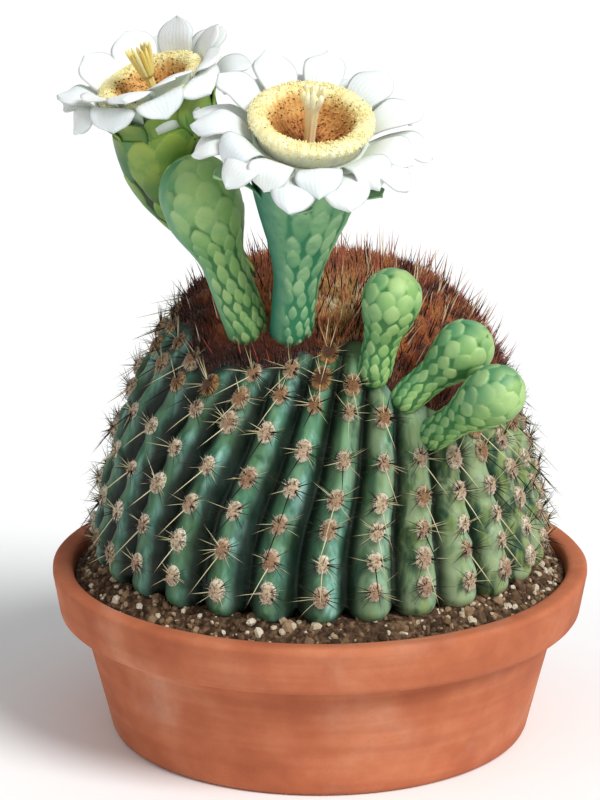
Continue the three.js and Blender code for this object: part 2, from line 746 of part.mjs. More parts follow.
const terracotta = material(0xb9663f, 0.85);
const grit = material(0x6b5846, 0.95);
const rind = material(0x3f6f52, 0.5);
const wool = material(0x9a6a35, 0.95);
const budGreen = material(0x6fa063, 0.5);
const tubeGreen = material(0x3e7f5c, 0.5);
const petalWhite = material(0xf4f4ee, 0.6);
const pollenYellow = material(0xe8d27a, 0.8);
const styleCream = material(0xf0e6b8, 0.6);

function named(name, geometry, meshMaterial, shift = 0) {
  const mesh = new THREE.Mesh(geometry, meshMaterial);
  mesh.name = name;
  mesh.position.x = shift;
  return mesh;
}

const sockets = wasm.Manifold.union([
  ...BUDS.map((bud) => socket(bud, bud.neck)),
  ...FLOWERS.map((flower) => socket(flower, FLOWER_NECK_RADIUS)),
]);
const recess = crownCap(-CROWN_DEPTH - GAP, 3 * CROWN_DEPTH, 0, 0.25 * DEGREE);
const bareStem = ribbedBody().add(root()).subtract(recess);
const stem = wasm.Manifold.union([bareStem, ...areoles(organs)]).subtract(sockets);
const crown = wasm.Manifold.union([crownCap(-CROWN_DEPTH, 0.5, CROWN_TUFT, 0), ...crownSpines(organs)]);

const plant = new THREE.Group();
plant.add(named("pot", potSolid(), terracotta));
plant.add(named("soil", soilGeometry(), grit));
plant.add(named("stem", geometryOf(stem), rind));
plant.add(named("crown", geometryOf(crown.subtract(sockets)), wool));
for (const bud of BUDS) {
  const group = standing(bud);
  group.add(named(bud.name, budSolid(bud), budGreen));
  plant.add(group);
}
for (const flower of FLOWERS) {
  const group = standing(flower);
  const shift = tubeBow(flower, flower.length);
  group.add(named(`${flower.name}_tube`, tubeSolid(flower), tubeGreen));
  group.add(named(`${flower.name}_petals`, petalsSolid(flower), petalWhite, shift));
  group.add(named(`${flower.name}_stamens`, stamensSolid(flower), pollenYellow, shift));
  group.add(named(`${flower.name}_style`, styleSolid(flower), styleCream, shift));
  plant.add(group);
}

export default plant;
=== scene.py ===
# Looks of the potted saguaro: ribbed stem with felted areoles and spines, woolly crown, scaly
# buds and white flowers, in gritty soil in a terracotta pot. Shapes are worked out in
# millimetres from the same dimensions as the solids, and become metres where a mesh is made.

import math

import bpy
import numpy as np
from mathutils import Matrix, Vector


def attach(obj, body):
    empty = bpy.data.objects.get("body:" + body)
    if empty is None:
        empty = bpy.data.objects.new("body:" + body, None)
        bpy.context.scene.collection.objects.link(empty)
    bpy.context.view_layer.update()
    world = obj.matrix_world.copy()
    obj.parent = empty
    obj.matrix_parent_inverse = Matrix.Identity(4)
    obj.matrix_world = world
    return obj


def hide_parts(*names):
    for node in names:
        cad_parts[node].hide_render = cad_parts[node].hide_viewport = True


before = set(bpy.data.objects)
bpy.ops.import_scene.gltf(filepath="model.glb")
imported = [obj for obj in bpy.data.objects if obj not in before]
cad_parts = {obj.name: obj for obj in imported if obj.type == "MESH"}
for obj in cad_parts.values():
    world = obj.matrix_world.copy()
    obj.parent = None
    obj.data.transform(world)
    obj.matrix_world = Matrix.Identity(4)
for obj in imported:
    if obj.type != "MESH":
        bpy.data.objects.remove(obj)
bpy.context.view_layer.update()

MM = 0.001
DEGREE = math.pi / 180
TURN = 2 * math.pi
FRONT = -90 * DEGREE  # bearing of the viewer of the photograph
LIT_FLANK = -35 * DEGREE  # bearing of the flank of a bud or tube that faces the light
SMOOTH_FLANK = -165 * DEGREE  # bearing of the flank where its scales lie flat

# Dimensions of the pot and soil.

CORNER_RADIUS = 3
POT_HEIGHT = 80
POT_FOOT_RADIUS = 98
POT_WALL = 9
POT_SIDES = 144
POT_FLARE = 0.25
RIM_BAND_HEIGHT = 24
RIM_OUTER_RADIUS = 126
RIM_INNER_RADIUS = 116
DRAIN_COUNT = 3
DRAIN_RADIUS = 7
DRAIN_SIDES = 32
DRAIN_CIRCLE_RADIUS = 45
SOIL_EDGE_LEVEL = 75
SOIL_STEM_LEVEL = 84
SOIL_EDGE_RADIUS = RIM_INNER_RADIUS - 1.6
SOIL_INNER_RADIUS = 90
SOIL_SIDES = 390
CRUMBS = 1300
CRUMB_RADII = 99, 112
GAP = 0.3
BAND_LEVEL = POT_HEIGHT - RIM_BAND_HEIGHT
BAND_RADIUS = POT_FOOT_RADIUS + POT_FLARE * BAND_LEVEL

# Dimensions of the stem and its crown.

STEM_RADIUS = 106
DOME_HEIGHT = 130
WIDEST_LEVEL = 89
DOME_SIDE_POWER = 3.33
DOME_TOP_POWER = 1.33
TIP_LEAN = 11 * DEGREE
TIP_LEAN_BEARING = -45 * DEGREE
RIBS = 28
RIB_DEPTH = 10
RIB_GROWTH = 16 * DEGREE
RIB_POWER = 2.4
RIB_COLUMNS = 18
STEM_ROWS = 100
ROOT_ROWS = 20
AREOLE_ROWS = 9
AREOLE_PITCH = 10 * DEGREE
YOUNG_PITCH = 5.5 * DEGREE
AREOLE_HAIRS = 46
RADIAL_SPINES = 17
UPPER_SPINES = 3
HAIR_RADIUS = 0.3
RADIAL_SPINE_RADIUS = 0.23
CENTRAL_SPINE_RADIUS = 0.36
CENTRAL_SPINE_LENGTH = 21
UPPER_SPINE_RADIUS = 0.3
TUCK_DEPTH = 11
TUCK_LEVEL = WIDEST_LEVEL - TUCK_DEPTH
ROOT_TOP_RADIUS = 80
ROOT_RADIUS = 72
ROOT_END_LEVEL = 40
ROOT_OUTLINE = [(ROOT_RADIUS, TUCK_LEVEL - 0.1), (ROOT_RADIUS, 50), (0.8 * ROOT_RADIUS, ROOT_END_LEVEL)]
CROWN_SPREAD = 37 * DEGREE
CROWN_NOTCH = 15 * DEGREE
CROWN_NOTCH_BEARING = -95 * DEGREE
CROWN_NOTCH_WIDTH = 50 * DEGREE
CROWN_MARGIN = 4 * DEGREE
CROWN_DEPTH = 4
CROWN_COLUMNS = 220
CROWN_ROWS = 44
WOOL_FIBRES = 11900
CROWN_SPINES = 520
FRONT_SPINES = 90
YOUNG_SPINE_RADIUS = 0.42
AREOLE_CLEARANCE = 3
SPINE_FLOOR = SOIL_STEM_LEVEL + 1.5

# Buds and flowers: where each stands, how far it reaches and how thick it is.

SOCKET_DEPTH = 7
BUDS = {
    "bud_large": dict(foot=(-32.4, -50.4, 204.1), reach=(-26.4, -14, 79.5), neck=9.6, head=17.2, swell=0.38,
                      large=True),
    "bud_upright": dict(foot=(23.6, -68.4, 190), reach=(10, -8, 46.2), neck=7.4, head=12.6, swell=0.24),
    "bud_right": dict(foot=(38.8, -70.4, 179), reach=(32.8, -8, 31.2), neck=7.2, head=12.4, swell=0.24),
    "bud_low": dict(foot=(50.4, -71.9, 162), reach=(31.7, -36, 33.2), neck=7.2, head=12.2, swell=0.24),
}
FLOWERS = {
    "flower_front": dict(
        foot=(-13.1, -57.2, 205), reach=(8.8, -46, 104.9), size=0.95, petals=11, bow=0,
        leafy=False, tepal_width=15, tepals=[(36.5, 25, 7, (64, 30, -10))], smooth_flank=62,
        layers=[
            dict(length=34.5, width=1.18, roll=2.2,
                 side=(32, 8, -35), front=(44, 24, -50), back=(40, 12, -30)),
            dict(length=31, width=1.18, roll=2.4,
                 side=(40, 18, -18), front=(48, 28, -72), back=(56, 34, 8)),
        ],
        lobes=dict(count=8, length=10.5, spread=27, radius=1.4, curl=2.2, stout=1.15, sunk=2, tone=0.8),
    ),
    "flower_left": dict(
        foot=(-37.8, -10.5, 215.4), reach=(-35.5, -25, 99), size=0.87, petals=9, bow=10,
        leafy=True, tepal_width=23, tepals=[(42, 34, 8, (82, 78, 64)), (30, 21, 9, (83, 74, 40))],
        smooth_flank=0,
        layers=[
            dict(length=33, width=1.3, roll=1,
                 side=(50, 26, -30), front=(86, 66, -60), back=(64, 40, 5)),
            dict(length=31, width=1.2, roll=1,
                 side=(66, 44, 0), front=(88, 82, 12), back=(82, 70, 44)),
        ],
        lobes=dict(count=15, length=18, spread=14, radius=1.15, curl=0, stout=0.95, sunk=6, tone=0.28),
    ),
}

# Scales at the foot, middle and head of a skin. Levels are shares of its length between which
# the sizes change. Pitch is the distance from row to row, and spacing that along a row.

BUD_SCALES = dict(
    levels=(0.12, 0.4, 0.68), spacing=(5, 6.5, 8.5), pitch=(3.9, 6.5, 5.6), length=(7, 9, 12.5),
    fill=(0.85, 0.95, 1.3), relief=(0.6, 0.6, 0.95), point=(0.95, 0.95, 0.6), skew=(0.9, 0.9, 1.5),
    soft=(0.28, 0.28, 0.45), crisp=(1, 1, 0.75),
)
LARGE_BUD_SCALES = dict(BUD_SCALES, spacing=(5, 6.5, 12.5), pitch=(3.9, 6.5, 8), length=(7, 13, 19))
BUD_SKIN = dict(rows=120, columns=112, sizes=BUD_SCALES, smooth_flank=0)
LARGE_BUD_SKIN = dict(rows=178, columns=162, sizes=LARGE_BUD_SCALES, smooth_flank=34)
TUBE_SCALES = dict(
    levels=(0.1, 0.4, 0.75), spacing=(5, 7, 9.5), pitch=(5, 8.5, 12), length=(7, 15, 27),
    fill=(0.7, 0.95, 1.1), relief=(0.5, 0.9, 1.2), point=(0.9, 0.9, 0.6), skew=(0.9, 0.9, 1.35),
    soft=(0.3, 0.3, 0.5), crisp=(1, 1, 0.6),
)
LEAFY_SCALES = dict(
    TUBE_SCALES, spacing=(5, 7, 17), pitch=(5, 8.5, 13), length=(7, 15, 36), fill=(0.7, 0.95, 1.3),
    relief=(0.5, 0.9, 2), soft=(0.3, 0.3, 0.25), crisp=(1, 1, 1),
)

# Open parts of the flowers. Drops are measured down from a flower's top.

FLOWER_NECK_RADIUS = 9.6
RIM_DROP = 19.5
RIM_OUTSIDE_RADIUS = 27.2
RIM_INSIDE_RADIUS = 25
CUP_DROP = 25
CUP_RADIUS = 23.6
PETAL_RING_DROP = 11
PETAL_RING_RADIUS = 24.2
PETAL_WIDTH = 17  # with 11 petals in a row
PETAL_THICKNESS = 0.5
TEPAL_THICKNESS = 0.8
PETAL_ROWS = 24
PETAL_COLUMNS = 13
TUBE_ROWS = 166
TUBE_COLUMNS = 138
BOWL_SIDES = 132
STYLE_SIDES = 40
ANTHERS = 4100


def smoothstep(value, low, high):
    share = np.clip((value - low) / (high - low), 0, 1)
    return share * share * (3 - 2 * share)


def mix(first, second, share):
    return first + (second - first) * share


def unit(vectors):
    return vectors / np.maximum(1e-9, np.linalg.norm(vectors, axis=-1, keepdims=True))


def polar(radius, bearing, height):
    """Points at distances from the vertical axis, bearings round it and heights."""
    parts = radius * np.cos(bearing), radius * np.sin(bearing), height
    return np.stack(np.broadcast_arrays(*parts), axis=-1)


def bearings(count):
    """Bearings of points evenly round a turn."""
    return np.arange(count) / count * TURN


def apart(bearing, other):
    """Angle from one bearing to another, the short way round."""
    return np.mod(bearing - other + math.pi, TURN) - math.pi


def waves(points, size, seed):
    """Smooth random patches of about a size over points, from 0 to 1."""
    random = np.random.default_rng(seed)
    total = np.zeros(points.shape[:-1])
    for _ in range(9):
        direction = unit(random.normal(size=3)) * TURN / (size * random.uniform(0.8, 2.4))
        total += np.sin(points @ direction + random.uniform(0, TURN))
    return np.clip(0.5 + total / 7, 0, 1)


def seeded(seed):
    """Repeatable random numbers from 0 to 1, drawn as for the solids."""
    state = seed
    word = 0xFFFFFFFF

    def draw():
        nonlocal state
        state = (state + 0x6D2B79F5) & word
        mixed = ((state ^ (state >> 15)) * (1 | state)) & word
        mixed = ((mixed + (mixed ^ (mixed >> 7)) * (61 | mixed)) & word) ^ mixed
        return (mixed ^ (mixed >> 14)) / 2**32

    return draw


# Meshes.

def placed(name, data):
    """An object of the scene that holds a mesh, a light or a camera."""
    made = bpy.data.objects.new(name, data)
    bpy.context.scene.collection.objects.link(made)
    return made


class Shape:
    """Closed surfaces gathered into one mesh, each point with four marks for the materials."""

    def __init__(self):
        self.points = []
        self.faces = []
        self.marks = []
        self.count = 0

    def add(self, points, faces, marks=(0.5, 0.5, 0.5, 0.5)):
        """Faces are arrays of triangles or quads. All are turned round if they face inwards."""
        points = np.asarray(points, float).reshape(-1, 3)
        middle = points.mean(axis=0)
        volume = 0
        for group in faces:
            corner = points[group] - middle
            for last in range(2, group.shape[1]):
                volume += np.einsum("ij,ij->", corner[:, 0], np.cross(corner[:, last - 1], corner[:, last]))
        for group in faces:
            group = group if volume > 0 else group[:, ::-1]
            self.faces.extend((group + self.count).tolist())
        channels = [np.broadcast_to(np.asarray(mark, float).reshape(-1), (len(points),)) for mark in marks]
        self.marks.append(np.stack(channels, axis=1))
        self.points.append(points)
        self.count += len(points)

    def piece(self, name, material, slot, *nodes, smooth=True):
        """The mesh as an object, which stands for its nodes and moves with them."""
        mesh = bpy.data.meshes.new(name)
        mesh.from_pydata((np.concatenate(self.points) * MM).tolist(), [], self.faces)
        mesh.materials.append(material)
        mesh.polygons.foreach_set("use_smooth", [smooth] * len(self.faces))
        marks = mesh.attributes.new("marks", "FLOAT_COLOR", "POINT")
        marks.data.foreach_set("color", np.concatenate(self.marks).astype(np.float32).ravel())
        mesh.update()
        piece = placed(name, mesh)
        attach(piece, "root")
        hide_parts(*nodes)
        return piece


def grid_faces(rows, columns, wrap):
    """Quads over a grid of points, with its last column joined to the first if it wraps."""
    across = columns if wrap else columns - 1
    row, column = np.meshgrid(np.arange(rows - 1), np.arange(across), indexing="ij")
    here = row * columns + column
    beside = row * columns + (column + 1) % columns
    return np.stack([here, beside, beside + columns, here + columns], axis=-1).reshape(-1, 4)


def closed_grid(grid, start, end):
    """Points and faces of a wrapped grid whose first and last rows are drawn to two points."""
    rows, columns = grid.shape[:2]
    points = np.concatenate([grid.reshape(-1, 3), [start, end]])
    side = np.arange(columns)
    beside = (side + 1) % columns
    first = np.stack([beside, side, np.full(columns, rows * columns)], axis=1)
    last_row = (rows - 1) * columns
    last = np.stack([last_row + side, last_row + beside, np.full(columns, rows * columns + 1)], axis=1)
    return points, [grid_faces(rows, columns, True), first, last]


def with_ends(values):
    """Values of a grid's points with those of its two end points."""
    flat = values.reshape(-1)
    return np.concatenate([flat, flat[[0, -1]]])


def revolved(outline, sides):
    """Grid of points round the vertical axis through [radius, height] points."""
    outline = np.asarray(outline, float)
    return polar(outline[:, :1], bearings(sides), outline[:, 1:])


def refined(outline, step):
    """Outline with points added so that none are further apart than about a step."""
    fine = []
    for start, end in zip(outline, outline[1:]):
        count = max(1, int(np.linalg.norm((end - start)[:2]) / step))
        fine.extend(mix(start, end, share) for share in np.arange(count) / count)
    return np.array([*fine, outline[-1]])


def circle(right, up, sides):
    """Steps from the middles of unit circles to the points round them."""
    angle = bearings(sides)[:, None]
    return right[..., None, :] * np.cos(angle) + up[..., None, :] * np.sin(angle)


def blade(grid, thickness):
    """Points and faces of a thin closed blade about a grid that is its middle surface."""
    rows, columns = grid.shape[:2]
    normal = unit(np.cross(np.gradient(grid, axis=0), np.gradient(grid, axis=1)))
    half = 0.5 * thickness * normal
    points = np.concatenate([(grid + half).reshape(-1, 3), (grid - half).reshape(-1, 3)])
    top = grid_faces(rows, columns, False)
    place = np.arange(rows * columns).reshape(rows, columns)
    edge = np.concatenate([place[0, :-1], place[:-1, -1], place[-1, :0:-1], place[:0:-1, 0]])
    after = np.roll(edge, -1)
    under = rows * columns
    side = np.stack([edge + under, after + under, after, edge], axis=1)
    return points, [top, top[:, ::-1] + under, side]


def add_needles(shape, roots, directions, lengths, radii, bends, tones, segments=3, low=0, rise=1):
    """Adds three-sided needles, each bent by a vector towards its tip.

    Their second mark is low at the root and rises from there to the tip.
    """
    count = len(roots)
    helper = np.where(np.abs(directions[:, 2:]) < 0.8, [[0, 0, 1]], [[1, 0, 0]])
    right = unit(np.cross(directions, helper))
    ring = circle(right, np.cross(directions, right), 3)
    share = np.arange(segments) / segments
    centre = (roots[:, None] + directions[:, None] * (lengths[:, None] * share)[..., None]
              + bends[:, None] * (share**2)[:, None])
    radius = np.broadcast_to(radii, count)[:, None] * (1 - share**1.4)
    points = centre[:, :, None] + ring[:, None] * radius[..., None, None]
    tip = roots + directions * lengths[:, None] + bends
    points = np.concatenate([points.reshape(count, -1, 3), tip[:, None]], axis=1)
    each = 3 * segments + 1
    last = 3 * (segments - 1)
    ends = np.array([[2, 1, 0]] + [[last + side, last + (side + 1) % 3, each - 1] for side in range(3)])
    step = (np.arange(count) * each)[:, None, None]
    faces = [(group + step).reshape(-1, group.shape[1]) for group in (grid_faces(segments, 3, True), ends)]
    along = low + rise * np.append(np.repeat(share, 3), 1) + np.zeros((count, 1))
    shape.add(points, faces, (np.repeat(tones, each), along, 0.5, 0.5))


def copies(points, faces, axes, places):
    """Points and faces of copies of a small shape, each by its own axes at its own place."""
    moved = np.einsum("pj,njk->npk", points, axes) + places[:, None]
    step = (np.arange(len(places)) * len(points))[:, None, None]
    return moved.reshape(-1, 3), [(group + step).reshape(-1, group.shape[1]) for group in faces]


def rod(path, radii):
    """Points and faces of a round rod along a path, with pointed ends."""
    along = unit(np.gradient(path, axis=0))
    right = unit(np.cross(along, (0.31, 0.87, 0.38)))
    grid = path[:, None] + circle(right, np.cross(along, right), 8) * radii[:, None, None]
    return closed_grid(grid, path[0], path[-1] + along[-1] * radii[-1] * 0.5)


def ball(rings, sides):
    """Points and faces of a unit ball."""
    down = (np.arange(rings) + 1) / (rings + 1) * math.pi
    outline = np.stack([np.sin(down), np.cos(down)], axis=1)
    return closed_grid(revolved(outline, sides), (0, 0, 1), (0, 0, -1))


# The dome of the stem.

def dome_reach(down):
    """Distance of the dome from its centre, at angles from the vertical, by halving."""
    near = np.zeros_like(down)
    far = np.full_like(down, STEM_RADIUS + DOME_HEIGHT)
    for _ in range(40):
        middle = (near + far) / 2
        across = middle * np.sin(down) / STEM_RADIUS
        up = np.maximum(0, middle * np.cos(down) / DOME_HEIGHT)
        outside = across**DOME_SIDE_POWER + up**DOME_TOP_POWER > 1
        far = np.where(outside, middle, far)
        near = np.where(outside, near, middle)
    return near


def dome_point(down, bearing, lift=0):
    """Points of the stem without its ribs, at angles down from the growing tip and bearings."""
    down, bearing, lift = np.broadcast_arrays(*(np.asarray(x, float) for x in (down, bearing, lift)))
    level = math.pi / 2
    axis = np.array([-math.sin(TIP_LEAN_BEARING), math.cos(TIP_LEAN_BEARING), 0])
    lean = TIP_LEAN * (1 - smoothstep(down, level / 2, level))[..., None]
    direction = polar(np.sin(down), bearing, np.cos(down))
    along_axis = axis * (direction @ axis)[..., None] * (1 - np.cos(lean))
    direction = direction * np.cos(lean) + np.cross(axis, direction) * np.sin(lean) + along_axis
    reach = dome_reach(np.arccos(np.clip(direction[..., 2], -1, 1)))
    dome = direction * (reach + lift)[..., None]
    dome[..., 2] += WIDEST_LEVEL
    drop = np.maximum(0, down - level)
    radius = mix(ROOT_TOP_RADIUS, STEM_RADIUS, np.cos(drop)) + lift
    height = WIDEST_LEVEL - (TUCK_DEPTH + lift) * np.sin(drop)
    return np.where((down > level)[..., None], polar(radius, bearing, height), dome)


def wool_edge(bearing):
    share = np.minimum(1, np.abs(apart(bearing, CROWN_NOTCH_BEARING)) / CROWN_NOTCH_WIDTH)
    return CROWN_SPREAD - CROWN_NOTCH * np.cos(share * math.pi / 2) ** 2


def ragged_edge(bearing):
    return wool_edge(bearing) + DEGREE * (1.3 * np.sin(9 * bearing) + np.sin(14 * bearing + 1))


def rib_offset(bearing):
    """From -1 in one valley over 0 on the crest to 1 in the next valley."""
    phase = bearing / TURN * RIBS
    return 2 * (phase - np.round(phase))


def rib_lift(down, bearing):
    start = wool_edge(bearing) - RIB_GROWTH / 4
    growth = smoothstep(down, start, start + RIB_GROWTH)
    fade = np.cos(np.maximum(0, down - math.pi / 2))
    return -RIB_DEPTH * growth * fade * np.abs(rib_offset(bearing)) ** RIB_POWER


def dome_frame(down, bearing):
    """Outward, downhill and sideways directions on the dome."""
    step = 1e-3
    downhill = unit(dome_point(down + step, bearing) - dome_point(down - step, bearing))
    sideways = unit(dome_point(down, bearing + step) - dome_point(down, bearing - step))
    return unit(np.cross(downhill, sideways)), downhill, sideways


# Buds and flowers on their feet.

def rim_height(organ):
    """Height of a flower's rim, or of the top of a bud."""
    return organ["length"] - RIM_DROP * organ.get("size", 0)


def cup_height(flower):
    return flower["length"] - CUP_DROP * flower["size"]


def organ_radius(organ, height):
    """Radius of a bud, or of the tube of a flower, at a height above its foot."""
    if "head" in organ:
        swell = smoothstep(height / organ["length"], organ["swell"], 0.72)
        past = np.maximum(0, (height - organ["length"] + organ["head"]) / organ["head"])
        return mix(organ["neck"], organ["head"], swell) * np.sqrt(np.maximum(0, 1 - past**2))
    flare = smoothstep(height, 0.2 * organ["length"], rim_height(organ))
    return mix(FLOWER_NECK_RADIUS, (RIM_OUTSIDE_RADIUS - 0.9) * organ["size"], flare)


def organ_bow(organ, height):
    """How far the bow of a flower's tube carries it sideways at a height."""
    share = np.clip(height, 0, rim_height(organ)) / organ["length"]
    return -organ.get("bow", 0) * np.sin(math.pi * share) ** 2


ORGANS = [*BUDS.values(), *FLOWERS.values()]
for organ in ORGANS:
    organ["length"] = float(np.linalg.norm(organ["reach"]))
    turn = Vector((0, 0, 1)).rotation_difference(Vector(organ["reach"]))
    organ["turn"] = np.array(turn.to_matrix())


def stand(points, organ):
    return points @ organ["turn"].T + np.array(organ["foot"])


def corolla(points, flower):
    """Points of a flower's open part, which the bow of the tube carries along."""
    return stand(np.asarray(points) + (organ_bow(flower, flower["length"]), 0, 0), flower)


def is_clear(roots, directions, lengths, margin):
    """Which spines keep clear of every bud and flower, and of the soil and the pot's rim."""
    clear = np.ones(len(roots), bool)
    for share in np.linspace(0, 1, 7):
        points = roots + directions * (lengths * share)[:, None]
        clear &= points[:, 2] > SPINE_FLOOR
        for organ in ORGANS:
            local = (points - np.array(organ["foot"])) @ organ["turn"]
            height = local[:, 2]
            radius = organ_radius(organ, np.maximum(0, height))
            radius = radius + organ.get("bow", 0) * smoothstep(height, 5, 30)
            beside = (height > -2 * SOCKET_DEPTH) & (height < organ["length"] + margin)
            clear &= ~(beside & (np.hypot(local[:, 0], local[:, 1]) < radius + margin))
    return clear


# Materials.

def tint(code):
    """Linear colour of a hexadecimal screen colour."""
    levels = [int(code[place:place + 2], 16) / 255 for place in (1, 3, 5)]
    return tuple(level / 12.92 if level <= 0.04045 else ((level + 0.055) / 1.055) ** 2.4 for level in levels)


class Paint:
    """A procedural material that is being mixed."""

    def __init__(self, name, **sockets):
        self.material = bpy.data.materials.new(name)
        self.material.use_nodes = True
        self.tree = self.material.node_tree
        self.shader = self.tree.nodes["Principled BSDF"]
        for socket, value in sockets.items():
            self.shader.inputs[socket.replace("_", " ")].default_value = value
        self.place = self.node("ShaderNodeTexCoord").outputs["Object"]
        marks = self.node("ShaderNodeAttribute", attribute_name="marks")
        split = self.node("ShaderNodeSeparateColor", [marks.outputs["Color"]])
        self.tone, self.along, self.third = split.outputs[:3]
        self.fourth = marks.outputs["Alpha"]

    def node(self, kind, inputs=(), **settings):
        made = self.tree.nodes.new(kind)
        for name, value in settings.items():
            setattr(made, name, value)
        for place, value in (inputs.items() if isinstance(inputs, dict) else enumerate(inputs)):
            if isinstance(value, bpy.types.NodeSocket):
                self.tree.links.new(value, made.inputs[place])
            elif value is not None:
                made.inputs[place].default_value = value
        return made

    def noise(self, size, detail=3, stretch=(1, 1, 1), warp=0):
        """Noise with features of about a size in millimetres."""
        scale = [factor / (size * MM) for factor in stretch]
        place = self.node("ShaderNodeMapping", {0: self.place, 3: scale}).outputs[0]
        settings = {"Vector": place, "Scale": 1, "Detail": detail, "Roughness": 0.55, "Distortion": warp}
        return self.node("ShaderNodeTexNoise", settings).outputs["Fac"]

    def reckon(self, operation, first, second=0.5):
        return self.node("ShaderNodeMath", [first, second], operation=operation).outputs[0]

    def fit(self, value, low, high, start=0, end=1):
        settings = [value, low, high, start, end]
        return self.node("ShaderNodeMapRange", settings, interpolation_type="SMOOTHSTEP").outputs[0]

    def ramp(self, value, *stops):
        made = self.node("ShaderNodeValToRGB", [value])
        elements = made.color_ramp.elements
        elements.remove(elements[1])
        elements[0].position = stops[0][0]
        elements[0].color = (*tint(stops[0][1]), 1)
        for place, code in stops[1:]:
            elements.new(place).color = (*tint(code), 1)
        return made.outputs[0]

    def mix(self, share, first, second):
        first, second = ((*tint(x), 1) if isinstance(x, str) else x for x in (first, second))
        inputs = {0: share, 6: first, 7: second}
        return self.node("ShaderNodeMix", inputs, data_type="RGBA").outputs[2]

    def coats(self, color, *coats):
        """The colour with others laid over it, each as a value runs between two levels."""
        for value, low, high, share, code in coats:
            color = self.mix(self.fit(value, low, high, 0, share), color, code)
        return color

    def done(self, color, bump=None, distance=0.3, strength=0.5, roughness=None):
        """Finished material with a colour, a relief with its height in millimetres, and a gloss."""
        self.tree.links.new(color, self.shader.inputs["Base Color"])
        if roughness is not None:
            self.tree.links.new(roughness, self.shader.inputs["Roughness"])
        if bump is not None:
            inputs = {"Strength": strength, "Distance": distance * MM, "Height": bump}
            relief = self.node("ShaderNodeBump", inputs)
            self.tree.links.new(relief.outputs[0], self.shader.inputs["Normal"])
        return self.material


def rind_material():
    """Waxy skin, dark green with paler crests: teal right flanks and a yellower right side are painted light;
    dark left flanks, a darker left side and near-black valleys are painted shade.
    """
    paint = Paint("rind", Specular_IOR_Level=0.35)
    broad = paint.noise(20, 3, (1, 1, 0.45), warp=0.4)
    fine = paint.noise(5, 4, (1, 1, 0.35))
    skin = paint.ramp(broad, (0.32, "#20432f"), (0.5, "#356b4b"), (0.66, "#4c8a63"))
    teal = paint.ramp(fine, (0.3, "#4f8c78"), (0.5, "#7db3a3"), (0.7, "#a9d2c5"))
    patchy = paint.noise(11, 3, (1, 1, 0.5), warp=0.5)
    # Painted light: teal in patches on the right flank of each rib.
    lit = paint.fit(patchy, 0.36, 0.58, 0.1, 0.95)
    lit = paint.reckon("MULTIPLY", paint.fit(paint.fourth, 0.5, 0.7), lit)
    skin = paint.coats(
        paint.mix(lit, skin, teal),
        (paint.tone, 0.45, 0.9, 0.55, "#4d6d36"),
        # Painted shade: dark green on the left flank of each rib.
        (paint.fourth, 0.5, 0.22, 0.6, "#16321f"),
        (paint.noise(7, 4, (1, 1, 0.22), warp=0.8), 0.52, 0.66, 0.6, "#1b3a29"),
    )
    across = paint.node("ShaderNodeSeparateXYZ", [paint.place]).outputs["X"]
    # Painted light on the right of the stem: yellower crests and yellow-green streaks.
    lit_right = paint.fit(across, 0, 0.09, 0, 0.85)
    crest = paint.reckon("MULTIPLY", paint.fit(paint.along, 0.4, 0.05, 0, 0.75), paint.fit(patchy, 0.62, 0.4))
    skin = paint.mix(crest, skin, paint.mix(lit_right, "#6f9a72", "#b3b06c"))
    skin = paint.mix(paint.reckon("MULTIPLY", lit_right, paint.fit(fine, 0.4, 0.65)), skin, "#869a55")
    skin = paint.coats(
        paint.mix(paint.third, skin, "#6d6a45"),
        (fine, 0.5, 0.3, 0.35, "#1a3424"),
        # Painted light: pale patches, stronger towards the right of the stem.
        (patchy, 0.42, 0.58, paint.fit(across, -0.01, 0.06, 0, 0.7), "#a1b389"),
    )
    # Painted shade: darker green on the left of the stem, away from the light.
    left = paint.fit(across, -0.02, -0.09)
    skin = paint.mix(paint.reckon("MULTIPLY", left, 0.42), skin, "#1c3f26")
    # Painted shade: near-black valleys between the ribs, narrower towards the right.
    narrower = paint.fit(across, -0.05, 0.05, -0.1, 0.18)
    valley = paint.fit(paint.reckon("SUBTRACT", paint.along, narrower), 0.36, 0.76, 0, 0.94)
    skin = paint.mix(valley, skin, paint.mix(left, "#0a1a10", "#0c0f08"))
    rough = paint.fit(fine, 0.3, 0.7, 0.4, 0.62)
    return paint.done(skin, paint.noise(1.6, 5), 0.3, 0.4, rough)


def felt_material():
    """Felt of the areoles: brown in the middle and cream at the edge."""
    paint = Paint("felt", Roughness=0.95, Sheen_Weight=0.3, Specular_IOR_Level=0.2)
    grain = paint.noise(1.1, 3)
    dark = paint.ramp(paint.tone, (0, "#4c2c17"), (0.3, "#86603c"), (0.6, "#9f8168"), (1, "#c2ab8d"))
    pale = paint.ramp(paint.tone, (0, "#ae8048"), (0.4, "#c6b296"), (1, "#e4dac2"))
    felt = paint.mix(paint.fit(paint.along, 0.45, 1), dark, pale)
    return paint.done(paint.coats(felt, (grain, 0.55, 0.35, 0.75, "#54392a")), grain, 0.5, 0.8)


def spine_material(name, base, tip):
    """Spines: dark where the tone is low and pale where it is high, with darker tips."""
    paint = Paint(name, Roughness=0.6, Specular_IOR_Level=0.2)
    pale = paint.ramp(paint.tone, (0, "#0c0c08"), (0.3, "#1f1c14"), (0.5, base), (1, "#e9e1ba"))
    return paint.done(paint.coats(pale, (paint.along, 0.6, 1, 0.8, tip)))


def wool_material():
    """Wool of the crown: dark red-brown, rust, ochre and cream, with painted shade towards the roots of the
    fibres.
    """
    paint = Paint("wool", Roughness=0.9, Sheen_Weight=0.25, Specular_IOR_Level=0.2)
    color = paint.ramp(paint.tone, (0, "#1d110a"), (0.2, "#6d2f14"), (0.4, "#a05a2c"), (0.6, "#b88246"),
                       (0.8, "#d3ab72"), (1, "#ecdcbc"))
    # Painted shade: darker towards the roots of the fibres and on the felt beneath them.
    color = paint.coats(color, (paint.along, 0.5, 0, 0.5, "#4a220f"))
    return paint.done(color, paint.noise(1.5, 4), 0.6, 0.7)


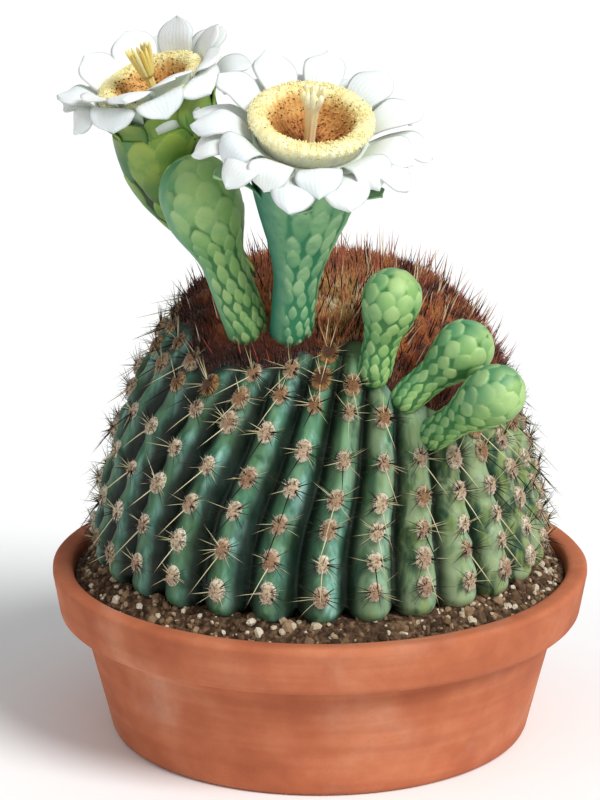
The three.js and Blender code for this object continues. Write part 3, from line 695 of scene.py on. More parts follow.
def scale_material(name, crease_shade, shade, light, base, edge):
    """Scaly green skin, whose scales run from a darker base to a paler end, with painted shade in the
    creases, painted light on the flank that faces the light and painted shade on the other.
    """
    paint = Paint(name, Specular_IOR_Level=0.35)
    soft = paint.noise(8, 3)
    # Painted light: the flank that faces the light takes the light colour; painted shade gives the other
    # flank the shade colour.
    flank = paint.fit(paint.fourth, 0.2, 0.85)
    scale = paint.coats(
        paint.mix(flank, shade, light),
        (paint.tone, 0.5, 1, 0.4, edge),
        (paint.tone, 0.4, 0, 0.35, base),
        # Random soft patches of the shade colour.
        (soft, 0.42, 0.7, 0.4, shade),
        (paint.along, 0.5, 0, 0.6, base),
        (paint.along, 0.5, 1, 0.5, edge),
    )
    # Painted shade in the creases between the scales.
    color = paint.mix(paint.fit(paint.third, 0, 0.8), paint.mix(flank, base, crease_shade), scale)
    rough = paint.fit(soft, 0.3, 0.7, 0.42, 0.6)
    return paint.done(color, paint.noise(1.6, 4), 0.12, 0.3, rough)


def petal_material():
    """White petals with faint veins, grey edges and green-grey roots as painted shade, and greenish
    undersides, partly their own colour and partly painted shade.
    """
    paint = Paint("petal", Roughness=0.5, Subsurface_Weight=0.15, Subsurface_Scale=0.003)
    vein = paint.reckon("SINE", paint.reckon("MULTIPLY", paint.fourth, 30))
    across = paint.reckon("ABSOLUTE", paint.fourth)
    white = paint.ramp(paint.tone, (0, "#e4e8e8"), (0.5, "#eff1ef"), (1, "#f7f7f3"))
    # Faint grey veins, and painted shade: green-grey towards the roots of the petals.
    white = paint.coats(white, (vein, 0.3, 1, 0.1, "#bcc7c6"), (paint.along, 0.5, 0, 0.55, "#b9c6b4"))
    green = paint.mix(paint.fit(paint.along, 0, 0.7), "#8fab84", "#cfdccc")
    # Undersides greenish, partly their own colour and partly painted shade.
    color = paint.mix(paint.reckon("MULTIPLY", paint.third, 0.75), white, green)
    # Painted shade: grey along the edges of the petals.
    return paint.done(paint.coats(color, (across, 0.86, 1, 0.4, "#93a09f")), vein, 0.12, 0.25)


def pollen_material():
    """Massed anthers and filaments: pale yellow, with painted shade as orange to dark brown with dark specks
    down in the bowl and as grey-green under the ring.
    """
    paint = Paint("pollen", Roughness=0.85)
    color = paint.ramp(paint.tone, (0, "#4a2710"), (0.16, "#8a4f22"), (0.34, "#c98e4e"), (0.5, "#deb46c"),
                       (0.66, "#efe2a0"), (0.84, "#f6f0c4"), (1, "#f4f2e2"))
    # Painted shade: grey-green where the third mark is high, under the ring.
    shade = paint.mix(paint.third, color, "#b9bfa4")
    return paint.done(shade, paint.noise(0.8, 3), 0.25, 0.5)


def style_material():
    """Cream style with a yellow-green shade."""
    paint = Paint("style", Roughness=0.45, Subsurface_Weight=0.15, Subsurface_Scale=0.003)
    color = paint.ramp(paint.tone, (0, "#e0c65c"), (0.4, "#ebdc96"), (1, "#f6efcb"))
    return paint.done(color, paint.noise(1.5, 3, (1, 1, 0.2)), 0.2, 0.3)


def terracotta_material():
    """Fired clay with darker and paler patches and a bloom of minerals."""
    paint = Paint("terracotta", Roughness=0.85, Specular_IOR_Level=0.3)
    grain = paint.noise(0.8, 4)
    clay = paint.coats(
        paint.ramp(paint.noise(40, 4), (0.3, "#a5593a"), (0.5, "#b96a47"), (0.7, "#c97f5b")),
        (paint.noise(7, 2, (0.06, 0.06, 1)), 0.4, 0.65, 0.3, "#9a5134"),
        (paint.noise(45, 6, warp=0.3), 0.5, 0.85, 0.4, "#d6b29a"),
        (grain, 0.6, 0.75, 0.4, "#86442c"),
    )
    return paint.done(clay, grain, 0.25, 0.6)


def soil_material():
    """Gritty mix: dark earth, brown crumbs and pale pumice."""
    paint = Paint("soil", Roughness=0.95, Specular_IOR_Level=0.2)
    crumb = paint.noise(3, 5)
    earth = paint.ramp(crumb, (0.35, "#2b1f16"), (0.5, "#4f3b2a"), (0.65, "#7a6048"))
    stone = paint.ramp(paint.tone, (0, "#3a2a1e"), (0.3, "#6e5540"), (0.55, "#93775a"), (0.75, "#b9a88c"),
                       (1, "#d9cdb8"))
    color = paint.mix(paint.along, earth, stone)
    return paint.done(color, crumb, 0.8, 0.8)


def floor_material():
    paint = Paint("floor", Roughness=0.8, Specular_IOR_Level=0.1)
    return paint.done(paint.ramp(paint.noise(300, 2), (0.3, "#f8f8f7"), (0.7, "#fbfbfa")))


rind = rind_material()
felt = felt_material()
spine_paint = spine_material("spine", "#b3a577", "#6b5436")
young_spine_paint = spine_material("young_spine", "#a84c40", "#c08074")
wool = wool_material()
bud_paint = scale_material("bud_skin", "#3b733c", "#5a9466", "#8bb466", "#3c7845", "#b8d08e")
tube_paint = scale_material("tube_skin", "#2f7a52", "#1d6b56", "#7fb07c", "#2f7c58", "#b4d3a0")
leafy_paint = scale_material("leafy_skin", "#16300f", "#3f7a45", "#7d9c3a", "#16320f", "#a9b753")
petal_paint = petal_material()
pollen = pollen_material()
style_paint = style_material()
terracotta = terracotta_material()
soil_paint = soil_material()


# Pot and soil.

def round_corners(outline, steps):
    """Outline with its inner corners rounded, each by a few points."""
    outline = [np.array(point, float) for point in outline]
    rounded = [outline[0]]
    for before, corner, after in zip(outline, outline[1:], outline[2:]):
        arms = [0.45 * np.linalg.norm(other - corner) for other in (before, after)]
        reach = min(CORNER_RADIUS, *arms)
        start = corner + unit(before - corner) * reach
        end = corner + unit(after - corner) * reach
        for share in np.linspace(0, 1, steps):
            rounded.append((1 - share)**2 * start + 2 * share * (1 - share) * corner + share**2 * end)
    rounded.append(outline[-1])
    return np.array(rounded)


def settle_modifiers(piece):
    graph = bpy.context.evaluated_depsgraph_get()
    mesh = bpy.data.meshes.new_from_object(piece.evaluated_get(graph))
    piece.modifiers.clear()
    piece.data = mesh


def make_pot():
    outline = round_corners([
        (20, 0), (POT_FOOT_RADIUS, 0), (BAND_RADIUS, BAND_LEVEL), (RIM_OUTER_RADIUS - 4, BAND_LEVEL + 1),
        (RIM_OUTER_RADIUS, POT_HEIGHT), (RIM_INNER_RADIUS, POT_HEIGHT),
        (RIM_INNER_RADIUS - 2, BAND_LEVEL + 6), (BAND_RADIUS - POT_WALL, BAND_LEVEL),
        (POT_FOOT_RADIUS - POT_WALL, POT_WALL), (20, POT_WALL),
    ], 4)
    grid = revolved(refined(outline, 4), POT_SIDES)
    outside = smoothstep(np.linalg.norm(grid[..., :2], axis=-1, keepdims=True), 95, 110)
    sway = (waves(grid, 60, 3) - 0.5)[..., None] * 0.7 * outside
    grid[..., :2] -= unit(grid[..., :2]) * np.abs(sway)
    shape = Shape()
    shape.add(*closed_grid(grid, (0, 0, 0), (0, 0, POT_WALL)))
    pot = shape.piece("pot_clay", terracotta, "terracotta", "pot")
    for hole in range(DRAIN_COUNT):
        angle = (hole + 0.25) / DRAIN_COUNT * TURN
        drill = Shape()
        ring = revolved([(DRAIN_RADIUS, -3), (DRAIN_RADIUS, POT_WALL + 3)], DRAIN_SIDES)
        ring += polar(DRAIN_CIRCLE_RADIUS, angle, 0)
        drill.add(*closed_grid(ring, ring[0].mean(axis=0), ring[1].mean(axis=0)))
        cutter = drill.piece(f"drill_{hole}", terracotta, "terracotta")
        cut = pot.modifiers.new("drain", "BOOLEAN")
        cut.operation = "DIFFERENCE"
        cut.object = cutter
        settle_modifiers(pot)
        bpy.data.objects.remove(cutter)


def soil_level(radius):
    """Height of the soil, which climbs inwards from the pot's rim and then runs level."""
    share = (SOIL_EDGE_RADIUS - radius) / (SOIL_EDGE_RADIUS - SOIL_INNER_RADIUS)
    return mix(SOIL_EDGE_LEVEL, SOIL_STEM_LEVEL, smoothstep(share, 0, 0.5))


def make_soil():
    random = np.random.default_rng(5)
    tuck = TUCK_LEVEL - GAP
    top = [(radius, soil_level(radius)) for radius in np.linspace(SOIL_EDGE_RADIUS, SOIL_INNER_RADIUS, 22)]
    outline = [(40, POT_WALL + GAP), (POT_FOOT_RADIUS - POT_WALL - 0.6, POT_WALL + GAP),
               (BAND_RADIUS - POT_WALL - 0.6, BAND_LEVEL), (RIM_INNER_RADIUS - 2.6, BAND_LEVEL + 6), *top,
               (88, tuck), (ROOT_RADIUS + GAP, tuck), (ROOT_RADIUS + GAP, ROOT_END_LEVEL - GAP),
               (40, ROOT_END_LEVEL - GAP)]
    grid = revolved(outline, SOIL_SIDES)
    on_top = np.zeros(grid.shape[:2])
    on_top[5:24] = 1
    crumbs = 1.6 * waves(grid, 7, 8) + 0.9 * random.random(grid.shape[:2]) - 1.2
    grid[..., 2] += crumbs * on_top
    shape = Shape()
    shape.add(*closed_grid(grid, (0, 0, POT_WALL + GAP), (0, 0, ROOT_END_LEVEL - GAP)), (0.5, 0, 0, 0))
    unit_points, unit_faces = ball(3, 6)
    bearing = random.uniform(0, TURN, CRUMBS)
    radius = np.sqrt(random.uniform(CRUMB_RADII[0] ** 2, CRUMB_RADII[1] ** 2, CRUMBS))
    height = soil_level(radius) + random.uniform(-0.6, 0.6, CRUMBS)
    size = random.lognormal(0.15, 0.4, CRUMBS).clip(0.6, 2.6)
    turns = np.linalg.qr(random.normal(size=(CRUMBS, 3, 3)))[0]
    axes = turns * (size[:, None] * random.uniform(0.6, 1.25, (CRUMBS, 3)))[..., None]
    points, faces = copies(unit_points, unit_faces, axes, polar(radius, bearing, height))
    points += random.normal(0, 0.12, points.shape)
    shape.add(points, faces, (np.repeat(random.random(CRUMBS) ** 1.3, len(unit_points)), 1, 0, 0))
    shape.piece("soil_mix", soil_paint, "soil", "soil", smooth=False)


# Stem with its areoles and spines.

def make_skin():
    columns = RIBS * RIB_COLUMNS
    bearing = bearings(columns)
    start = wool_edge(bearing) - 8 * DEGREE
    above = mix(start, math.pi / 2, np.linspace(0, 1, STEM_ROWS)[:, None])
    below = math.pi / 2 * (1 + np.linspace(0, 1, ROOT_ROWS)[1:, None]) + 0 * bearing
    down = np.concatenate([above, below])
    offset = rib_offset(bearing) + 0 * down
    growth = smoothstep(down, start, start + RIB_GROWTH)
    free = smoothstep(down, math.pi / 2, math.pi / 2 - 0.1)
    swell = np.cos(TURN * (down / AREOLE_PITCH - 0.5)) * free * growth
    points = dome_point(down, bearing)
    lumps = 1.3 * (waves(points, 16, 1) - 0.5) + 0.6 * (waves(points, 5, 2) - 0.5)
    lift = rib_lift(down, bearing) + 0.9 * swell * (1 - offset**2) + lumps * free
    grid = np.concatenate([dome_point(down, bearing, lift), revolved(ROOT_OUTLINE, columns)])
    tone = waves(points, 30, 4)
    halo = smoothstep(swell, 0.6, 1) * smoothstep(np.abs(offset), 0.3, 0) * 0.4
    # Painted light on the right flank of each rib, painted shade on its left flank.
    flank = 0.5 + 0.5 * np.sin(offset * math.pi / 2) * growth
    fade = np.zeros((len(ROOT_OUTLINE), columns))
    # Painted shade in the valleys and in a band below the wool's edge.
    shade = np.abs(offset) * np.maximum(growth, 0.75 * smoothstep(down, start, start + 0.12))
    wool_shade = smoothstep(down, ragged_edge(bearing) + 4.5 * DEGREE, ragged_edge(bearing))
    shade = np.maximum(shade, 0.66 * wool_shade)
    marks = [(tone, 0.5), (shade, 1), (halo, 0), (flank, 0.5)]
    marks = [with_ends(np.concatenate([values, fade + end])) for values, end in marks]
    shape = Shape()
    shape.add(*closed_grid(grid, dome_point(0, 0, -14), (0, 0, ROOT_END_LEVEL)), marks)
    shape.piece("stem_skin", rind, "rind", "stem")


def stands_free(down, bearing):
    outward = dome_frame(down, bearing)[0]
    root = dome_point(down, bearing, -1)
    return is_clear(root[None], outward[None], np.ones(1), AREOLE_CLEARANCE)[0]


def areole_places():
    """Angles of the areoles on the crests, drawn as for the solid, and of young ones by the wool."""
    draw = seeded(7)
    grown = []
    young = []
    for rib in range(RIBS):
        bearing = rib / RIBS * TURN
        first = math.pi / 2
        for row in range(AREOLE_ROWS):
            down = (row + 0.5 + 0.2 * (draw() - 0.5)) * AREOLE_PITCH
            if down < ragged_edge(bearing) + CROWN_MARGIN or not stands_free(down, bearing):
                continue
            grown.append((down, bearing))
            first = min(first, down)
            for _ in range(3):
                draw()
        down = first - YOUNG_PITCH
        while down > ragged_edge(bearing) - DEGREE:
            if stands_free(down, bearing):
                young.append((down, bearing))
            down -= YOUNG_PITCH
    return np.array(grown + young).T


def fan(frames, turns, tilts):
    """Directions that stand up from the skin by a tilt and turn round from uphill."""
    outward, downhill, sideways = frames
    flat = sideways * np.sin(turns)[..., None] - downhill * np.cos(turns)[..., None]
    return unit(outward * np.sin(tilts)[..., None] + flat * np.cos(tilts)[..., None])


def make_areoles():
    random = np.random.default_rng(17)
    down, bearing = areole_places()
    count = len(down)
    place = dome_point(down, bearing, 0.4)
    outward, downhill, sideways = frames = dome_frame(down, bearing)
    near_wool = smoothstep((down - ragged_edge(bearing)) / DEGREE, 15, 5)
    size = random.uniform(0.95, 1.3, count) + 0.15 * near_wool
    tone = np.clip(random.uniform(0.35, 1.05, count) - 0.45 * near_wool, 0, 1)
    spread_frames = [axis[:, None] for axis in frames]

    pads = Shape()
    unit_points, unit_faces = ball(7, 16)
    axes = np.stack([sideways * 3.2, downhill * 4.3, outward * 2.2], axis=1) * size[:, None, None]
    points, faces = copies(unit_points, unit_faces, axes, place)
    rough = 0.7 * (waves(points, 2.2, 6) - 0.5)
    points += rough[:, None] * np.repeat(outward, len(unit_points), axis=0)
    rim = np.tile(np.hypot(unit_points[:, 0], unit_points[:, 1]), count)
    pads.add(points, faces, (np.repeat(tone, len(unit_points)), rim, 0, 0))
    turns = random.uniform(0, TURN, (count, AREOLE_HAIRS))
    inner = random.random((count, AREOLE_HAIRS)) < 0.4
    tilts = np.where(inner, 1.1, 0.3) * random.uniform(0.6, 1.3, turns.shape)
    ways = fan(spread_frames, turns, tilts)
    around = (sideways[:, None] * np.sin(turns)[..., None] * 2.5
              - downhill[:, None] * np.cos(turns)[..., None] * 3.4)
    share = np.where(inner, 0.5, 0.95) * random.uniform(0.7, 1.05, turns.shape)
    roots = place[:, None] + around * (share * size[:, None])[..., None] + outward[:, None] * 0.5
    lengths = random.uniform(1.3, 2.8, turns.shape) * size[:, None]
    hair_tone = np.clip(tone[:, None] + random.uniform(-0.25, 0.3, turns.shape), 0, 1)
    bends = 0.3 * random.normal(size=(turns.size, 3))
    pale = 0.6 * (random.random((turns.size, 1)) < 0.6)
    add_needles(pads, roots.reshape(-1, 3), ways.reshape(-1, 3), lengths.ravel(), HAIR_RADIUS, bends,
                hair_tone, 2, 0.35 + 0.5 * pale, pale)
    pads.piece("stem_areoles", felt, "rind", "stem")

    spines = Shape()

    def add_spines(roots, ways, lengths, radius, tones, bends, segments=3):
        keep = is_clear(roots, ways, lengths, 0.5)
        roots, ways, lengths, tones, bends = (values[keep] for values in (roots, ways, lengths, tones, bends))
        add_needles(spines, roots, ways, lengths, radius, bends, tones, segments)

    total = count * RADIAL_SPINES
    sides = np.where(np.arange(RADIAL_SPINES) % 2 == 0, 1, -1)
    turns = sides * random.uniform(0.8, 2.4, (count, RADIAL_SPINES))
    ways = fan(spread_frames, turns, random.uniform(0.1, 0.6, turns.shape)).reshape(-1, 3)
    roots = np.repeat(place + outward * 0.8, RADIAL_SPINES, axis=0) + ways * 1.2
    right = smoothstep(roots[:, 0], 50, 95)
    pale = mix(random.uniform(0.55, 0.8, total), 0.5, right)
    tones = np.where(random.random(total) < 0.76, random.uniform(0.02, 0.24, total), pale)
    lengths = random.uniform(7.5, 14, total)
    bends = 0.8 * random.normal(size=(total, 3))
    add_spines(roots, ways, lengths, RADIAL_SPINE_RADIUS, tones, bends)

    side = np.clip(place[:, 0] / 80, -1, 1)
    rise = mix(0.5, 0.26, smoothstep(np.abs(side), 0.4, 1))
    lean = side * 0.36 + random.normal(0, 0.1, count)
    ways = unit(outward * rise[:, None] + downhill * 0.8 + sideways * lean[:, None])
    roots = place + downhill * 1.6 * size[:, None] + outward * 1.2
    bends = downhill * 1.4 + 0.7 * random.normal(size=(count, 3))
    tones = np.where(random.random(count) < 0.62, random.uniform(0.62, 0.95, count), 0.15)
    tones = np.where(place[:, 2] < 104, np.minimum(tones, 0.4), tones)
    lengths = CENTRAL_SPINE_LENGTH * random.uniform(0.75, 1.25, count)
    add_spines(roots, ways, lengths, CENTRAL_SPINE_RADIUS, tones, bends, 4)

    for _ in range(UPPER_SPINES):
        turns = random.uniform(-1.3, 1.3, count)
        ways = fan(frames, turns, random.uniform(0.4, 1, count))
        ways = unit(ways + near_wool[:, None] * np.array([0, 0, 0.8]))
        tones = random.choice([0.12, 0.18, 0.52, 0.8], count)
        bends = 0.8 * random.normal(size=(count, 3))
        lengths = mix(8, 14, near_wool) * random.uniform(0.7, 1.2, count)
        add_spines(place + outward, ways, lengths, UPPER_SPINE_RADIUS, tones, bends)
    spines.piece("stem_spines", spine_paint, "rind", "stem")


# Crown.

def crown_tone(points):
    """Patches of the wool: rust at the left, ochre to cream in the middle, red-brown at the right."""
    across = points[:, 0] + 22 * (waves(points, 17, 24) - 0.5)
    front = smoothstep(points[:, 1] + 30 * (waves(points, 23, 25) - 0.5), 0, -55)
    rust = 0.38 + 0.16 * (waves(points, 22, 21) - 0.5)
    ochre = 0.68 + 0.42 * (waves(points, 10, 22) - 0.5) + 0.16 * smoothstep(across, -2, 16)
    brown = 0.24 + 0.5 * (waves(points, 9, 23) - 0.5)
    tone = mix(rust, ochre, smoothstep(across, -12, -3) * front)
    tone = mix(tone, brown, smoothstep(across, 24, 32))
    return np.clip(mix(0.3, tone, smoothstep(points[:, 1], 60, 20)), 0, 1)


def make_crown():
    random = np.random.default_rng(29)
    shape = Shape()
    bearing = bearings(CROWN_COLUMNS)
    edge = ragged_edge(bearing)
    share = np.linspace(1, 0.03, CROWN_ROWS)[:, None]
    down = edge * share
    rough = waves(dome_point(down, bearing), 9, 31)
    top = dome_point(down, bearing, 0.4 + 2.6 * rough * smoothstep(share, 1, 0.92))
    skirt = dome_point(edge, bearing, -CROWN_DEPTH)
    under = dome_point(edge * 0.3, bearing, -CROWN_DEPTH)
    grid = np.concatenate([under[None], skirt[None], top])
    points, faces = closed_grid(grid, dome_point(0, 0, -CROWN_DEPTH), dome_point(0, 0, 2))
    # Painted shade: the felt darkens to near black at the wool's edge.
    margin = np.concatenate([np.ones((2, CROWN_COLUMNS)), smoothstep(edge * (1 - share) / DEGREE, 9, 2)])
    shape.add(points, faces, (mix(crown_tone(points) * 0.9, 0.02, 0.85 * with_ends(margin)), 0.4, 0, 0))
    count = WOOL_FIBRES
    bearing = random.uniform(0, TURN, count)
    down = ragged_edge(bearing) * np.sqrt(random.uniform(0, 1.01, count))
    outward, downhill, sideways = dome_frame(down, bearing)
    upright = np.array([0, 0, 1])
    sway = downhill * random.normal(0, 0.16, (count, 1)) + sideways * random.normal(0, 0.16, (count, 1))
    ways = unit(outward * 0.6 + upright * random.uniform(0.4, 1.1, (count, 1)) + sway)
    roots = dome_point(down, bearing, 0.4)
    lengths = random.uniform(3.8, 7.2, count)
    keep = is_clear(roots, ways, lengths, 0.3)
    # Painted shade: fibres darken to near black at the wool's edge, less on the right.
    margin = smoothstep((ragged_edge(bearing) - down) / DEGREE, 9, 2)
    margin *= mix(1, 0.45, smoothstep(roots[:, 0], -6, 8))
    tones = np.clip(mix(crown_tone(roots) + random.normal(0, 0.07, count), 0.02, 0.85 * margin), 0, 1)
    bends = 0.7 * random.normal(size=(keep.sum(), 3))
    radii = random.uniform(0.26, 0.44, keep.sum())
    add_needles(shape, roots[keep], ways[keep], lengths[keep], radii, bends, tones[keep], 2)
    shape.piece("crown_wool", wool, "wool", "crown")

    spines = Shape()

    def add_spines(ways, lengths, margin, tones):
        roots = dome_point(down, bearing, 0)
        keep = is_clear(roots, ways, lengths, margin)
        tones = random.choice(tones, len(roots))[keep]
        bends = 0.9 * random.normal(size=(keep.sum(), 3))
        add_needles(spines, roots[keep], ways[keep], lengths[keep], YOUNG_SPINE_RADIUS, bends, tones, 4)

    bearing = random.uniform(0, TURN, CROWN_SPINES)
    down = ragged_edge(bearing) * np.sqrt(random.uniform(0, 0.97, CROWN_SPINES))
    outward, downhill, sideways = dome_frame(down, bearing)
    ways = unit(outward * 0.8 + upright * 0.8 + downhill * random.normal(0, 0.2, (CROWN_SPINES, 1))
                + sideways * random.normal(0.12, 0.25, (CROWN_SPINES, 1)))
    add_spines(ways, random.uniform(10, 19, CROWN_SPINES), 1.5, [0.02, 0.1, 0.5, 0.55, 0.9])
    bearing = FRONT + random.uniform(-0.1, 0.5, FRONT_SPINES)
    down = ragged_edge(bearing) * random.uniform(0.4, 1, FRONT_SPINES)
    outward, downhill, sideways = dome_frame(down, bearing)
    ways = unit(outward * 0.5 + upright * 0.9 + sideways * random.normal(0.5, 0.3, (FRONT_SPINES, 1)))
    add_spines(ways, random.uniform(11, 20, FRONT_SPINES), 1, [0.1, 0.2, 0.9])
    spines.piece("crown_spines", young_spine_paint, "wool", "crown")


# Scaly skins of buds and tubes.

def scale_relief(angle, run, radius, scales):
    """Height over a skin of its overlapping scales, with their tone, way along and edge."""
    relief = np.zeros(np.broadcast_shapes(angle.shape, run.shape))
    tone = np.full_like(relief, 0.3)
    along = np.full_like(relief, 0.45)
    inside = np.zeros_like(relief)
    for scale in scales:
        across = np.abs(apart(angle, scale["angle"]) * np.maximum(radius, 1)) / (scale["width"] / 2)
        way = (run - scale["low"]) / scale["length"]
        within = np.clip(way, 0, 1)
        outline = np.sin(math.pi * within ** scale["skew"]) ** scale["point"]
        rim = smoothstep(outline - across, 0, scale["soft"]) * smoothstep(way, 0, 0.15)
        height = scale["relief"] * rim * (0.3 + 0.7 * within)
        top = height > relief
        relief = np.where(top, height, relief)
        tone = np.where(top, scale["tone"], tone)
        along = np.where(top, within, along)
        # The edge mark falls to 0 at each scale's rim, where the material paints shade in the crease.
        inside = np.where(top, mix(1, rim, scale["crisp"]), inside)
    return relief, tone, along, inside


def lay_scales(radius_at, total, sizes, seed):
    """Scales in alternate rows up a skin, with sizes from those at its foot, middle and head."""
    random = np.random.default_rng(seed)
    start, waist, top = sizes["levels"]
    scales = []
    low = 0.0
    row = 0
    while low < total - 2:
        middle = smoothstep(low / total, start, waist)
        head = smoothstep(low / total, waist, top)
        form = {key: mix(mix(size[0], size[1], middle), size[2], head)
                for key, size in sizes.items() if key != "levels"}
        radius = radius_at(min(total, low + form["length"] * 0.6))
        number = max(4, round(TURN * radius / form["spacing"]))
        for place in range(number):
            shift = random.normal(0, 0.07, 3)
            angle = (place + 0.5 * (row % 2) + 0.3 * row + shift[0]) / number * TURN
            scales.append({
                **form,
                "angle": angle,
                "low": low + 2 * shift[1] * form["pitch"],
                "length": form["length"] * (1 + shift[2]),
                "width": form["fill"] * TURN * radius / number,
                "tone": random.random(),
            })
        low += form["pitch"]
        row += 1
    return scales


def scaly_skin(organ, top, seed, rows, columns, sizes, smooth_flank):
    """Grid of a bud's or tube's scaly skin from its foot up, with the marks of its points.

    The scales lie flat over an angle in degrees to each side of the smooth flank.
    """
    def radius_at(height):
        past = np.clip(-height / (1.25 * SOCKET_DEPTH), 0, 0.98)
        return organ_radius(organ, np.maximum(height, 0)) * np.sqrt(1 - past**2)

    height = np.linspace(-SOCKET_DEPTH + 0.5, top, 4 * rows)
    radius = radius_at(height)
    run = np.concatenate([[0], np.cumsum(np.hypot(np.diff(radius), np.diff(height)))])
    even = np.linspace(0, run[-1], rows)
    height = np.interp(even, run, height)
    radius = radius_at(height)
    angle = bearings(columns)
    scales = lay_scales(lambda way: float(np.interp(way, even, radius)), even[-1], sizes, seed)
    relief, tone, along, inside = scale_relief(angle[None], even[:, None], radius[:, None], scales)
    width = smooth_flank * DEGREE
    flat = smoothstep(np.abs(apart(angle, SMOOTH_FLANK)), width + 0.01, 0.5 * width)[None]
    relief = relief * (1 - 0.8 * flat)
    tone, along, inside = mix(tone, 0.45, flat), mix(along, 0.45, flat), mix(inside, 1, flat)
    slope = unit(np.stack([np.gradient(height), -np.gradient(radius)], axis=1))
    out = radius[:, None] + relief * slope[:, :1]
    up = height[:, None] + relief * slope[:, 1:]
    grid = polar(out, angle, up)
    grid[..., 0] += organ_bow(organ, height)[:, None]
    # Painted light: this mark is highest on the flank that faces the light.
    lit = 0.5 + 0.5 * np.cos(angle - LIT_FLANK) + 0 * relief
    return grid, (tone, along, inside, lit)


def make_bud(name, bud, seed):
    form = LARGE_BUD_SKIN if bud.get("large") else BUD_SKIN
    grid, marks = scaly_skin(bud, bud["length"] - 0.02, seed, **form)
    points, faces = closed_grid(grid, (0, 0, -SOCKET_DEPTH), (0, 0, bud["length"] + 0.3))
    shape = Shape()
    shape.add(stand(points, bud), faces, [with_ends(values) for values in marks])
    shape.piece(f"{name}_skin", bud_paint, "bud_green", name)


# Petals and the other parts of a flower.

def petal_grid(bearing, radius, height, length, width, slopes, roll, ruffle, narrow, seed, twist=0, tip=0.1):
    """Middle surface of a petal that grows outwards from an upright axis.

    Slopes are at its root, on its flat middle and at its tip, which folds over beyond the middle.
    """
    random = np.random.default_rng(seed)
    along = np.linspace(0, 1, PETAL_ROWS)[:, None]
    across = np.linspace(-1, 1, PETAL_COLUMNS)[None]
    slope = mix(slopes[0], slopes[1], smoothstep(along, 0, 0.55))
    slope = mix(slope, slopes[2], smoothstep(along, 0.45, 0.85))
    step = length / (PETAL_ROWS - 1)
    out = np.concatenate([[[0]], np.cumsum(np.cos(slope[1:]), axis=0)]) * step
    up = np.concatenate([[[0]], np.cumsum(np.sin(slope[1:]), axis=0)]) * step
    cap = np.sqrt(1 - np.clip((along - 0.66) / 0.31, 0, 1) ** 2)
    spike = tip * (1 - smoothstep(along, 0.8, 1.02)) + 0.01
    half = 0.5 * width * mix(narrow, 1, smoothstep(along, 0, 0.6)) * np.maximum(cap, spike)
    side = across * half
    phase = random.uniform(0, TURN, 3)
    wave = (np.sin(7 * along + phase[0]) * across**2 + 0.6 * np.sin(12 * along + phase[1]) * across**3
            + 0.35 * np.sin(3.5 * across + phase[2]))
    lift = (ruffle * wave * smoothstep(along, 0.15, 0.7) - roll * across**2 * smoothstep(along, 0.2, 0.8)
            + twist * across * along * half)
    middle = polar(radius + out - lift * np.sin(slope), bearing, height + up + lift * np.cos(slope))
    return middle + polar(side, bearing + math.pi / 2, 0)


def add_petal(shape, flower, tone, thickness, leafy=False, **form):
    """A blade on the open part of a flower. A leafy one is marked as a scale, others as petals."""
    grid = petal_grid(**form)
    points, faces = blade(grid, thickness)
    along = np.tile(np.repeat(np.linspace(0, 1, PETAL_ROWS), PETAL_COLUMNS), 2)
    across = np.tile(np.linspace(-1, 1, PETAL_COLUMNS), 2 * PETAL_ROWS)
    under = np.repeat([0, 1], PETAL_ROWS * PETAL_COLUMNS)
    if leafy:
        marks = (tone, along, 1 - 0.25 * under, 0.75 - 0.3 * across**2)
    else:
        marks = (tone, along, under, across)
    shape.add(corolla(points, flower), faces, marks)


def open_ring(shape, flower, grid, marks):
    """Adds a closed ring whose section is the outline that its grid turns."""
    rows, columns = grid.shape[:2]
    place = np.arange(columns)
    beside = (place + 1) % columns
    last = (rows - 1) * columns
    seam = np.stack([last + place, last + beside, beside, place], axis=1)
    shape.add(corolla(grid.reshape(-1, 3), flower), [grid_faces(rows, columns, True), seam], marks)


def front_share(bearing):
    """How far a bearing faces the viewer of the photograph, from 0 to 1."""
    return float(smoothstep(math.cos(bearing - FRONT), 0, 0.65))


def make_tube(name, flower, seed):
    size = flower["size"]
    rim = rim_height(flower)
    cup = cup_height(flower)
    paint, sizes = (leafy_paint, LEAFY_SCALES) if flower["leafy"] else (tube_paint, TUBE_SCALES)
    grid, marks = scaly_skin(flower, rim, seed, TUBE_ROWS, TUBE_COLUMNS, sizes, flower["smooth_flank"])
    lip = revolved([(RIM_OUTSIDE_RADIUS * size, rim - 0.6), (RIM_OUTSIDE_RADIUS * size - 0.6, rim),
                    (RIM_INSIDE_RADIUS * size, rim), (CUP_RADIUS * size, cup)], TUBE_COLUMNS)
    bow = organ_bow(flower, rim)
    grid = np.concatenate([grid[:-1], lip + (bow, 0, 0)])
    points, faces = closed_grid(grid, (0, 0, -SOCKET_DEPTH), (bow, 0, cup))
    marks = [with_ends(np.concatenate([values[:-1], np.repeat(values[-1:], 4, axis=0)])) for values in marks]
    shape = Shape()
    shape.add(stand(points, flower), faces, marks)
    random = np.random.default_rng(seed + 1)
    for drop, length, count, slopes in flower["tepals"]:
        for place in range(count):
            height = flower["length"] - drop * size
            bearing = (place + random.normal(0, 0.07) + 0.03 * drop) / count * TURN
            front = front_share(bearing)
            add_petal(
                shape, flower, random.random(), TEPAL_THICKNESS, leafy=True,
                bearing=bearing,
                radius=organ_radius(flower, height) - 0.4,
                height=height,
                length=length * size * random.uniform(0.92, 1.08) * mix(1, 1.15, front),
                width=flower["tepal_width"] * size,
                slopes=[(slope + rise * front) * DEGREE + random.normal(0, 0.06)
                        for slope, rise in zip(slopes, (2, 8, 30))],
                roll=-1.2,
                ruffle=0.6,
                seed=seed * 50 + place + 20 * int(drop),
                narrow=0.55,
            )
    shape.piece(f"{name}_tube_skin", paint, "tube_green", f"{name}_tube")


